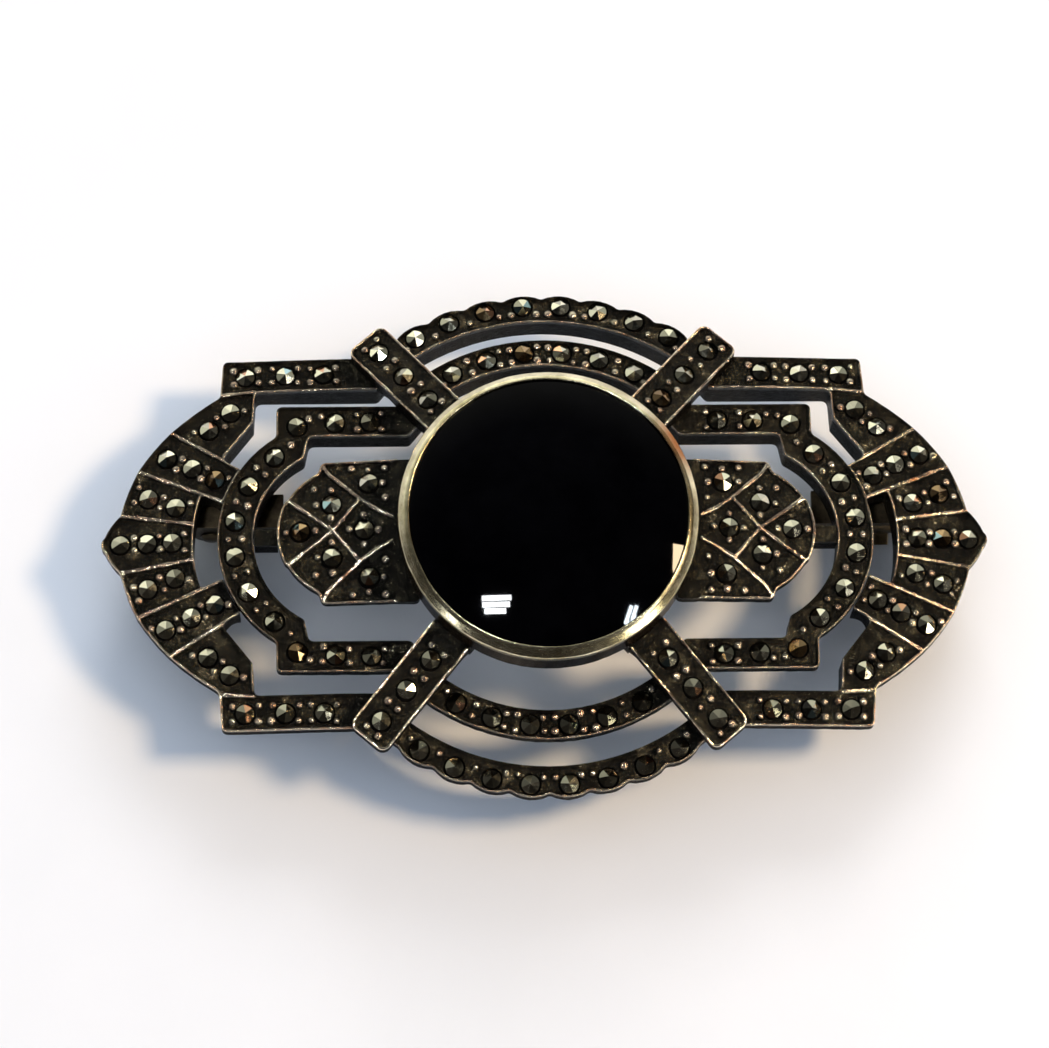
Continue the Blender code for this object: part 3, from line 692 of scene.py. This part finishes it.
def grains_for(seats, outline, ridges, seed):
    """Beads raised beside the stones: each as (place, radius, height)."""
    random = np.random.default_rng(seed)
    centres = [np.array(seat) for seat in seats]
    links = {i: [] for i in range(len(centres))}
    wanted = []
    for i, a in enumerate(centres):
        for j in range(i + 1, len(centres)):
            b = centres[j]
            gap = float(np.linalg.norm(b - a))
            if gap > NEIGHBOUR_GAP or crosses(a, b, ridges):
                continue
            links[i].append(j)
            links[j].append(i)
            along = (b - a) / gap
            across = np.array([-along[1], along[0]])
            if gap > WIDE_GAP and abs(along[1]) < 0.2:
                spots = [a + along * GRAIN_REACH, b - along * GRAIN_REACH]
                reach = 0.42
            else:
                spots = [(a + b) / 2]
                reach = max(0.36, sqrt(max(GRAIN_CLEARANCE ** 2 - gap * gap / 4, 0)) + 0.06)
            for spot in spots:
                wanted += [spot + across * reach, spot - across * reach]
    for i, a in enumerate(centres):
        if len(links[i]) == 1:
            along = a - centres[links[i][0]]
            along /= np.linalg.norm(along)
            across = np.array([-along[1], along[0]])
            wanted += [a + along * 0.7 + across * 0.45, a + along * 0.7 - across * 0.45]
        elif not links[i]:
            wanted += [a + 0.84 * np.array([cos(k * pi / 2), sin(k * pi / 2)]) for k in range(4)]
            wanted += [a + 1.35 * np.array([cos(k * pi / 2 + 0.8), sin(k * pi / 2 + 0.8)]) for k in range(4)]
    if not wanted:
        return []
    wanted = np.array(wanted) + random.uniform(-0.05, 0.05, (len(wanted), 2))
    edge = segment_distance(wanted, outline, np.roll(outline, -1, axis=0))
    ok = inside_loop(wanted, outline) & (edge > RIM_WIDTH + GRAIN_RADIUS * 0.8)
    if ridges:
        ok &= segment_distance(wanted, *np.array(ridges).transpose(1, 0, 2)) > GRAIN_RADIUS * 1.6
    for c in centres:
        ok &= np.hypot(*(wanted - c).T) > GRAIN_CLEARANCE - 0.04
    kept = thinned(wanted[ok], GRAIN_RADIUS * 2.1) if ok.any() else []
    return [(tuple(p), GRAIN_RADIUS * random.uniform(0.75, 1.08), random.uniform(0.19, 0.25)) for p in kept]


# ---- materials

class Shading:
    """The node tree of a material or world, with short ways to add and join nodes."""

    def __init__(self, owner, end_node="Principled BSDF"):
        owner.use_nodes = True
        self.nodes, self.links = owner.node_tree.nodes, owner.node_tree.links
        self.end = self.nodes[end_node]

    def join(self, value, socket):
        """Puts a number, a colour or another node's output on a socket."""
        if isinstance(value, tuple):
            socket.default_value = (*value, 1) if len(socket.default_value) == 4 else value
        elif isinstance(value, (int, float)):
            socket.default_value = value
        else:
            self.links.new(value, socket)

    def feed(self, **inputs):
        """Sets the end node's inputs, named with _ for a space."""
        for name, value in inputs.items():
            self.join(value, self.end.inputs[name.replace("_", " ")])

    def coordinates(self, kind="Object"):
        """Object coordinates, or another kind."""
        return self.nodes.new("ShaderNodeTexCoord").outputs[kind]

    def attribute(self, name, output="Fac"):
        """A mesh attribute's value."""
        node = self.nodes.new("ShaderNodeAttribute")
        node.attribute_name = name
        return node.outputs[output]

    def noise(self, scale, detail, roughness=0.6):
        """Noise in object coordinates, scaled per millimetre."""
        node = self.nodes.new("ShaderNodeTexNoise")
        for name, value in (("Scale", scale / MM), ("Detail", detail), ("Roughness", roughness)):
            node.inputs[name].default_value = value
        self.links.new(self.coordinates(), node.inputs["Vector"])
        return node.outputs["Fac"]

    def ramp(self, source, stops):
        """A colour ramp with stops of (position, colour)."""
        node = self.nodes.new("ShaderNodeValToRGB")
        elements = node.color_ramp.elements
        for element, (position, colour) in zip((elements[0], elements[1]), (stops[0], stops[-1])):
            element.position = position
            element.color = (*colour, 1)
        for position, colour in stops[1:-1]:
            elements.new(position).color = (*colour, 1)
        self.links.new(source, node.inputs["Fac"])
        return node.outputs["Color"]

    def math(self, operation, a, b, clamp=False):
        """A sum on two numbers or outputs."""
        node = self.nodes.new("ShaderNodeMath")
        node.operation = operation
        node.use_clamp = clamp
        self.join(a, node.inputs[0])
        self.join(b, node.inputs[1])
        return node.outputs[0]

    def times(self, a, b, clamp=False):
        return self.math("MULTIPLY", a, b, clamp)

    def plus(self, a, b, clamp=False):
        return self.math("ADD", a, b, clamp)

    def minus(self, a, b, clamp=False):
        return self.math("SUBTRACT", a, b, clamp)

    def vector(self, operation, a, b):
        """A number made from two vectors, such as their distance or dot product."""
        node = self.nodes.new("ShaderNodeVectorMath")
        node.operation = operation
        self.links.new(a, node.inputs[0])
        node.inputs[1].default_value = b
        return node.outputs["Value"]

    def mix(self, factor, a, b, blend="MIX"):
        """A blend from colour a to colour b."""
        node = self.nodes.new("ShaderNodeMix")
        node.data_type = "RGBA"
        node.blend_type = blend
        self.join(factor, node.inputs["Factor"])
        self.join(a, node.inputs["A"])
        self.join(b, node.inputs["B"])
        return node.outputs["Result"]

    def bump(self, height, depth, strength):
        """The normal for a height map of a depth in millimetres."""
        node = self.nodes.new("ShaderNodeBump")
        node.inputs["Distance"].default_value = depth * MM
        self.join(strength, node.inputs["Strength"])
        self.links.new(height, node.inputs["Height"])
        return node.outputs["Normal"]


def oxidised_silver():
    """Dark cast ground, worn to bright warm silver where it stands up; oxide-black in the seats, and painted
    shade down the walls that makes them black without reflection.
    """
    material = bpy.data.materials.new("oxidised_silver")
    tree = Shading(material)
    wear_and_shade = tree.attribute("wear_and_shade")
    region, blotch, fine = tree.noise(0.22, 4), tree.noise(1.1, 6), tree.noise(5.0, 6, 0.7)
    rubbed = tree.plus(tree.times(wear_and_shade, 1.6), tree.times(fine, 1.1))
    rubbed = tree.plus(rubbed, tree.times(region, 1.3))
    rubbed = tree.minus(rubbed, 2.2, clamp=True)
    mottle = tree.plus(tree.times(blotch, 0.6), tree.times(fine, 0.4))
    dark = tree.ramp(mottle, [(0.36, (0.003, 0.003, 0.003)), (0.52, (0.016, 0.014, 0.01)),
                              (0.6, (0.07, 0.06, 0.038)), (0.68, (0.4, 0.34, 0.24))])
    light = tree.ramp(blotch, [(0.28, (0.5, 0.26, 0.13)), (0.42, (0.85, 0.62, 0.46)),
                               (0.58, (0.95, 0.84, 0.66)), (0.75, (0.65, 0.56, 0.32))])
    # Below-zero values give oxide-black in the seats and painted shade on the walls and the back's edges:
    # colour darkened, metal and reflection taken away; specks of fine noise let bare metal through
    speck = tree.minus(tree.times(fine, 3.0), 1.86, clamp=True)
    soot_and_shade = tree.minus(tree.times(wear_and_shade, -1.6), speck, clamp=True)
    roughness = tree.minus(0.21, tree.times(rubbed, 0.15))
    tree.feed(Base_Color=tree.mix(soot_and_shade, tree.mix(rubbed, dark, light), (0.008, 0.0065, 0.005)),
              Specular_IOR_Level=tree.minus(0.3, tree.times(soot_and_shade, 0.285)),
              Metallic=tree.minus(tree.math("MAXIMUM", rubbed, 0.85), soot_and_shade, clamp=True),
              Roughness=tree.plus(roughness, tree.times(fine, 0.1)),
              Normal=tree.bump(fine, 0.12, tree.minus(1.0, tree.times(rubbed, 0.92))))
    return material


def plain_silver(name, low, high, roughness, bump_strength, shade_heights=None, spot=None):
    """Satin silver with tarnish clouds; it can have painted shade below a height, darker and without
    reflection, and have one brown stain.
    """
    material = bpy.data.materials.new(name)
    tree = Shading(material)
    tree.feed(Metallic=1.0)
    cloud, fine = tree.noise(0.45, 6, 0.7), tree.noise(9.0, 6)
    colour = tree.ramp(cloud, [(0.36, low), (0.64, high)])
    if spot:
        near = tree.vector("DISTANCE", tree.coordinates(), [c * MM for c in spot])
        stain = tree.plus(tree.times(near, -0.55 / MM), tree.times(cloud, 1.6))
        stain = tree.plus(stain, 0.55, clamp=True)
        colour = tree.mix(stain, colour, (0.36, 0.13, 0.035))
    # Painted shade: below the given heights the colour darkens and metal and reflection are taken away
    if shade_heights:
        unshaded_z, shaded_z = shade_heights
        height = tree.vector("DOT_PRODUCT", tree.coordinates(), (0, 0, 1))
        down = tree.math("DIVIDE", tree.minus(unshaded_z * MM, height), (unshaded_z - shaded_z) * MM)
        down = tree.plus(down, tree.times(cloud, 0.4))
        down = tree.minus(down, 0.2, clamp=True)
        colour = tree.mix(down, colour, (0.012, 0.008, 0.005))
        tree.feed(Metallic=tree.minus(1.0, down), Specular_IOR_Level=tree.minus(0.5, tree.times(down, 0.49)))
    tree.feed(Base_Color=colour, Roughness=tree.plus(tree.times(fine, 0.25), roughness - 0.12),
              Normal=tree.bump(fine, 0.02, bump_strength))
    return material


def onyx_material():
    """Polished black stone."""
    material = bpy.data.materials.new("black_onyx")
    tree = Shading(material)
    haze = tree.noise(0.4, 5)
    tree.feed(IOR=1.54, Specular_IOR_Level=0.2, Roughness=tree.times(haze, 0.05),
              Base_Color=tree.ramp(haze, [(0.35, (0.0003, 0.0003, 0.0005)), (0.7, (0.001, 0.001, 0.0014))]))
    return material


def marcasite_material():
    """Polished pyrite; each facet keeps a tint of its own."""
    material = bpy.data.materials.new("marcasite")
    tree = Shading(material)
    tree.feed(Metallic=1.0, Base_Color=tree.attribute("tint", "Color"),
              Roughness=tree.times(tree.noise(4.0, 5), 0.22))
    return material


# ---- pieces

def make_castings(silver):
    """All the castings, each standing for its CAD node. Returns the places of the marcasites."""
    all_places = {}
    for number, node in enumerate(CASTINGS):
        faces, places = casting_face(node)
        store = new_store()
        ridges = ridges_for(node)
        seats = [(float(top[0]), float(top[1])) for top, _ in places]
        grains = grains_for(seats, flat_outline(faces[0]), ridges, 100 + number)
        add_face_solid(store, node, faces[0], ridges, seats, grains, 10 * number)
        for extra in faces[1:]:
            add_face_solid(store, node, extra, [], [], [], 10 * number + 5, plain=True)
        piece = mesh_piece(f"{node}_casting", store, silver)
        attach(piece, "frame")
        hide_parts(node)
        all_places[node] = places
    return all_places


def add_stone(store, top, normal, turn, lean, tints):
    """One rose-cut marcasite: six flat facets on a round girdle, over a blunt cone."""
    up = Vector(normal)
    to_face = up.to_track_quat("Z", "X").to_matrix()
    tilt = Matrix.Rotation(lean[0], 3, "X") @ Matrix.Rotation(lean[1], 3, "Y")
    spin = Matrix.Rotation(turn, 3, "Z")
    rotate = to_face @ tilt @ spin
    origin = Vector(top) - up * STONE_SINK
    slope = CROWN_RISE / (STONE_RADIUS * cos(radians(15)))
    steps = STONE_SIDES // 6
    start = len(store["points"])

    def put(x, y, z):
        store["points"].append(tuple(origin + rotate @ Vector((x, y, z))))

    put(0.0, 0.0, CROWN_RISE)
    angles = [2 * pi * i / STONE_SIDES for i in range(STONE_SIDES)]
    for i, angle in enumerate(angles):
        within = (i % steps) / steps * (pi / 3) - pi / 6
        height = CROWN_RISE - slope * STONE_RADIUS * cos(within)
        put(STONE_RADIUS * cos(angle), STONE_RADIUS * sin(angle), height)
    for angle in angles:
        put(STONE_RADIUS * cos(angle), STONE_RADIUS * sin(angle), -GIRDLE_DEPTH)
    for angle in angles:
        put(CULET_RADIUS * cos(angle), CULET_RADIUS * sin(angle), -CULET_DEPTH)
    crown = start + 1
    girdle = crown + STONE_SIDES
    culet = girdle + STONE_SIDES
    for i in range(STONE_SIDES):
        j = (i + 1) % STONE_SIDES
        store["faces"].append((start, crown + i, crown + j))
        store["faces"].append((crown + j, crown + i, girdle + i, girdle + j))
        store["faces"].append((girdle + j, girdle + i, culet + i, culet + j))
        store["tints"] += [tints[i // steps]] * 3
    store["faces"].append(tuple(culet + i for i in reversed(range(STONE_SIDES))))
    store["tints"].append(tints[0])


def facet_tints(random):
    """Six facet colours of one stone: pale or, now and then, brown pyrite, with rare orange or blue facets
    that are painted glints.
    """
    base = PALE_PYRITE * random.uniform(0.8, 1.1)
    if random.random() < BROWN_STONES:
        base = BROWN_PYRITE * random.uniform(0.6, 1.0)
    tints = []
    for _ in range(6):
        colour = base * random.uniform(0.4, 1.1)
        roll = random.random()
        # A few facets get painted glints in orange or blue
        if roll < ORANGE_GLINT_FACETS:
            colour = ORANGE_PAINTED_GLINT
        elif roll < ORANGE_GLINT_FACETS + BLUE_GLINT_FACETS:
            colour = BLUE_PAINTED_GLINT
        tints.append(tuple(np.clip(colour, 0, 0.95)))
    return tints


def make_marcasites(all_places, material):
    """The stones of each casting, as one piece that stands for the casting's CAD stones."""
    random = np.random.default_rng(7)
    cad_stones = [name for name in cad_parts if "_marcasite_" in name]
    centres = {}
    for name in cad_stones:
        low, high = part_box(name)
        centres[name] = np.array([(low[i] + high[i]) / 2 / MM for i in range(2)])
    for node in CASTINGS:
        store = {"points": [], "faces": [], "tints": []}
        for top, normal in all_places[node]:
            lean = (random.normal(0, STONE_LEAN), random.normal(0, STONE_LEAN))
            add_stone(store, top, normal, random.uniform(0, pi / 3), lean, facet_tints(random))
        mesh = bpy.data.meshes.new(f"{node}_marcasites")
        points = np.array(store["points"])
        points[:, 2] += dome_lift(node, points[:, :2])
        points *= MM
        mesh.from_pydata(points.tolist(), [], store["faces"])
        tint = mesh.color_attributes.new("tint", "FLOAT_COLOR", "CORNER")
        colours = []
        for face, colour in zip(store["faces"], store["tints"]):
            colours += [(*colour, 1.0)] * len(face)
        tint.data.foreach_set("color", np.array(colours, dtype=np.float32).ravel())
        mesh.materials.append(material)
        piece = new_object(f"{node}_marcasites", mesh)
        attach(piece, "frame")
        spots = np.array([top[:2] for top, _ in all_places[node]])
        stands_for = [name for name in cad_stones if np.hypot(*(spots - centres[name]).T).min() < 0.3]
        if stands_for:
            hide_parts(*stands_for)


def spun(name, profile, material, sides, wobble, smooth_angle=40):
    """A closed profile of (radius, height) spun about Z, with a little unevenness."""
    rows = len(profile)
    points = []
    for i in range(sides):
        angle = 2 * pi * i / sides
        for j, (r, z) in enumerate(profile):
            points.append((r * cos(angle), r * sin(angle), z))
    points = np.array(points)
    if wobble:
        spread = np.column_stack([points[:, 0] + points[:, 2] * 2, points[:, 1] - points[:, 2] * 1.5])
        shift = wobble * (ripple(spread, 2.5, 91) + 0.6 * ripple(spread, 0.7, 92))
        reach = np.hypot(points[:, 0], points[:, 1])
        scale = (reach + shift) / np.maximum(reach, 1e-6)
        points[:, 0] *= scale
        points[:, 1] *= scale
        points[:, 2] += 0.5 * wobble * ripple(spread, 1.9, 93)
    faces = []
    for i in range(sides):
        k = (i + 1) % sides
        for j in range(rows):
            m = (j + 1) % rows
            faces.append((i * rows + j, k * rows + j, k * rows + m, i * rows + m))
    bm = bmesh.new()
    corners = [bm.verts.new(tuple(p * MM)) for p in points]
    for face in faces:
        bm.faces.new([corners[i] for i in face])
    bmesh.ops.remove_doubles(bm, verts=bm.verts, dist=1e-7)
    bmesh.ops.recalc_face_normals(bm, faces=bm.faces)
    mesh = bpy.data.meshes.new(name)
    bm.to_mesh(mesh)
    bm.free()
    mesh.materials.append(material)
    mesh.shade_smooth()
    mesh.set_sharp_from_angle(angle=radians(smooth_angle))
    return new_object(name, mesh)


def rounded_profile(corners, radius, steps=4):
    """A closed profile with each corner rounded off."""
    result = []
    count = len(corners)
    for i in range(count):
        before, here, after = (np.array(corners[(i + k) % count]) for k in (-1, 0, 1))
        to_before, to_after = before - here, after - here
        cut = min(radius, 0.45 * np.linalg.norm(to_before), 0.45 * np.linalg.norm(to_after))
        a = here + to_before / np.linalg.norm(to_before) * cut
        b = here + to_after / np.linalg.norm(to_after) * cut
        for k in range(steps + 1):
            t = k / steps
            result.append(tuple((1 - t) ** 2 * a + 2 * t * (1 - t) * here + t * t * b))
    return result


def make_bezel(material):
    """The cup's wall, its bearing ledge and its lip turned over the stone."""
    low, high = (np.array(c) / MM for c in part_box("bezel_cup"))
    wall = high[0] - 0.08
    bottom, top = low[2], high[2]
    stone_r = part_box("onyx_cabochon")[1][0] / MM
    rim_z = top - BEZEL_LIP
    ledge_r, ledge_z = wall - LEDGE_WIDTH, bottom + LEDGE_HEIGHT
    corners = [(ledge_r, bottom), (wall, bottom), (wall, rim_z - 0.12), (wall + 0.07, rim_z - 0.02),
               (wall + 0.03, rim_z + 0.1), (stone_r + 0.1, rim_z + 0.42), (stone_r - 0.1, top),
               (stone_r - 0.155, top - 0.03), (stone_r - 0.13, rim_z + 0.4), (stone_r + 0.03, rim_z - 0.05),
               (stone_r + 0.03, ledge_z), (ledge_r, ledge_z)]
    piece = spun("bezel", rounded_profile(corners, BEZEL_ROUND), material, 256, BEZEL_UNEVENNESS)
    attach(piece, "frame")
    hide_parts("bezel_cup")


def make_onyx(material):
    """The low-domed stone."""
    low, high = (np.array(c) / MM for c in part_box("onyx_cabochon"))
    radius, bottom, crown = high[0], low[2], high[2]
    bezel_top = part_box("bezel_cup")[1][2] / MM
    edge_r, edge_z = radius - ONYX_EDGE_IN, bezel_top - ONYX_EDGE_DOWN
    rise = crown - edge_z
    dome_r = (edge_r ** 2 + rise ** 2) / (2 * rise)
    profile = [(0.0, bottom), (radius - 0.1, bottom), (radius, bottom + 0.1), (radius, bezel_top - 0.61)]
    for i in range(DOME_STEPS + 1):
        r = edge_r * (1 - i / DOME_STEPS)
        profile.append((r, crown - dome_r + sqrt(dome_r ** 2 - r ** 2)))
    piece = spun("onyx", profile, material, 192, 0.0, smooth_angle=25)
    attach(piece, "frame")
    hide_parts("onyx_cabochon")


def make_findings(silver, wire):
    """The pin and catch parts, with their edges broken."""
    riders = {"pin_hinge_bracket": "frame", "pin_hinge_rivet": "frame", "catch_body": "frame",
              "pin_stem": "pin", "catch_sleeve": "sleeve"}
    for node, body in riders.items():
        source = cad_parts[node]
        bm = bmesh.new()
        bm.from_mesh(source.data)
        bmesh.ops.remove_doubles(bm, verts=bm.verts, dist=1e-7)
        bmesh.ops.dissolve_limit(bm, angle_limit=radians(1), verts=bm.verts, edges=bm.edges)
        mesh = bpy.data.meshes.new(f"{node}_finished")
        bm.to_mesh(mesh)
        bm.free()
        piece = new_object(f"{node}_finished", mesh)
        mesh.materials.append(wire if node == "pin_stem" else silver)
        mesh.shade_smooth()
        mesh.set_sharp_from_angle(angle=radians(40))
        bevel = piece.modifiers.new("broken_edges", "BEVEL")
        bevel.width = BROKEN_EDGE * MM
        bevel.segments = 2
        bevel.limit_method = "ANGLE"
        bevel.angle_limit = radians(35)
        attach(piece, body)
        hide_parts(node)


# ---- stage

def make_camera():
    """The photograph's view: from the front edge's side, nearly square to the face."""
    data = bpy.data.cameras.new("camera")
    data.sensor_width = 36
    data.lens = 36 * LENS_TO_SENSOR
    data.clip_start = 0.01
    camera = new_object("camera", data)
    roll = Matrix.Rotation(radians(VIEW_ROLL), 3, "Z")
    tilt = Matrix.Rotation(-radians(VIEW_TILT), 3, "X")
    turn = Matrix.Rotation(radians(VIEW_TURN), 3, "Y")
    to_world = (roll @ tilt @ turn).transposed()
    place = Vector(VIEW_AIM) + to_world @ Vector((0, 0, VIEW_DISTANCE))
    camera.matrix_world = Matrix.Translation(place) @ to_world.to_4x4()
    bpy.context.scene.camera = camera


def make_lamp(name, direction, size, strength, colour, distance=0.6, glossy=True, diffuse=True, roll=0):
    """A rectangular lamp that faces the brooch; it can be seen in reflections only, or give light only."""
    data = bpy.data.lights.new(name, "AREA")
    data.shape = "RECTANGLE"
    data.size, data.size_y = size
    data.energy = strength
    data.color = colour
    lamp = new_object(name, data)
    towards = Vector(direction).normalized()
    lamp.location = towards * distance
    across = (Vector((1, 0, 0)) - towards * towards.x).normalized()
    facing = Matrix((across, towards.cross(across), towards)).transposed()
    lamp.rotation_euler = (facing @ Matrix.Rotation(radians(roll), 3, "Z")).to_euler()
    lamp.visible_glossy = glossy
    lamp.visible_diffuse = diffuse


def make_lights():
    """The key, two soft fills, and lamps that show only in reflections."""
    make_lamp("key", (0.66, 0.05, 0.75), (0.11, 0.11), 2.3, (1.0, 0.76, 0.48))
    make_lamp("fill", (0.0, 0.1, 1.0), (3.0, 3.0), 21.6, (0.66, 0.785, 1.0), distance=0.8, glossy=False)
    make_lamp("beyond", (0.12, 0.85, 0.5), (0.3, 0.2), 1.65, (0.88, 0.92, 1.0), glossy=False)
    # A window with blinds at the left of the stone, and two slim panes at the right
    for row, (width, shift) in enumerate(((0.085, 0.0), (0.08, -0.004), (0.062, -0.01))):
        make_lamp(f"blind_{row}", (-0.222 + shift, -0.14 - 0.032 * row, 0.966), (width, 0.0155), 0.4,
                  (0.93, 0.97, 1.0), diffuse=False)
    for row in range(2):
        make_lamp(f"window_{row}", (0.4 + 0.028 * row, -0.207, 0.89), (0.011, 0.055), 0.16,
                  (0.8, 0.92, 1.0), diffuse=False, roll=-20)
    # Glints on the near side of the bezel and the rims
    make_lamp("near_side", (0.69, -0.42, 0.6), (0.028, 0.3), 0.3, (1.0, 0.98, 0.95), diffuse=False)
    make_lamp("low_right", (0.75, -0.59, 0.24), (0.12, 0.12), 0.9, (1.0, 0.93, 0.72), diffuse=False)
    make_lamp("low_left", (-0.75, -0.59, 0.24), (0.045, 0.1), 0.13, (0.93, 0.97, 1.0), diffuse=False)


def make_world():
    """A room that is bright beyond the brooch and dim overhead and on the near side."""
    world = bpy.data.worlds.new("room")
    bpy.context.scene.world = world
    tree = Shading(world, "Background")

    def facing(direction):
        return tree.vector("DOT_PRODUCT", tree.coordinates("Generated"), Vector(direction).normalized())

    overhead = tree.ramp(facing((0.0, 0.2, 1.0)), [(0.0, (1.0, 1.0, 1.0)), (0.35, (0.7, 0.72, 0.72)),
                                                   (0.62, (0.2, 0.2, 0.2)), (0.85, (0.02, 0.02, 0.025))])
    beyond = tree.ramp(facing((-0.25, 1.0, 0.25)), [(0.0, (0.025, 0.022, 0.02)), (0.35, (0.13, 0.125, 0.12)),
                                                    (0.7, (1.2, 1.22, 1.1)), (0.95, (2.3, 2.3, 2.05))])
    tree.feed(Color=tree.mix(1.0, overhead, beyond, "MULTIPLY"), Strength=1.0)


def make_floor():
    """A pale card under the brooch."""
    mesh = bpy.data.meshes.new("floor")
    corners = [(x * FLOOR_HALF, y * FLOOR_HALF, 0) for x, y in ((-1, -1), (1, -1), (1, 1), (-1, 1))]
    mesh.from_pydata(corners, [], [(0, 1, 2, 3)])
    floor = new_object("floor", mesh)
    material = bpy.data.materials.new("pale_card")
    tree = Shading(material)
    card = tree.ramp(tree.noise(0.05, 3), [(0.3, (0.86, 0.86, 0.86)), (0.7, (0.9, 0.895, 0.89))])
    tree.feed(Roughness=0.75, Base_Color=card)
    mesh.materials.append(material)


make_camera()
make_world()
make_floor()
make_lights()

silver = oxidised_silver()
places = make_castings(silver)
make_marcasites(places, marcasite_material())
make_bezel(plain_silver("worn_silver", (0.42, 0.36, 0.21), (0.88, 0.8, 0.56), 0.22, 0.08,
                        shade_heights=BEZEL_SHADE, spot=BEZEL_STAIN))
make_onyx(onyx_material())
# The hinge and catch are painted near black: painted shade for where they sit under the frame
shaded_findings_silver = plain_silver("findings_silver_painted_shade", (0.035, 0.026, 0.018), (0.13, 0.1, 0.06), 0.36, 0.3)
make_findings(shaded_findings_silver, plain_silver("pin_wire", (0.3, 0.26, 0.2), (0.5, 0.46, 0.38), 0.28, 0.15))
bpy.context.scene.view_settings.view_transform = "Standard"
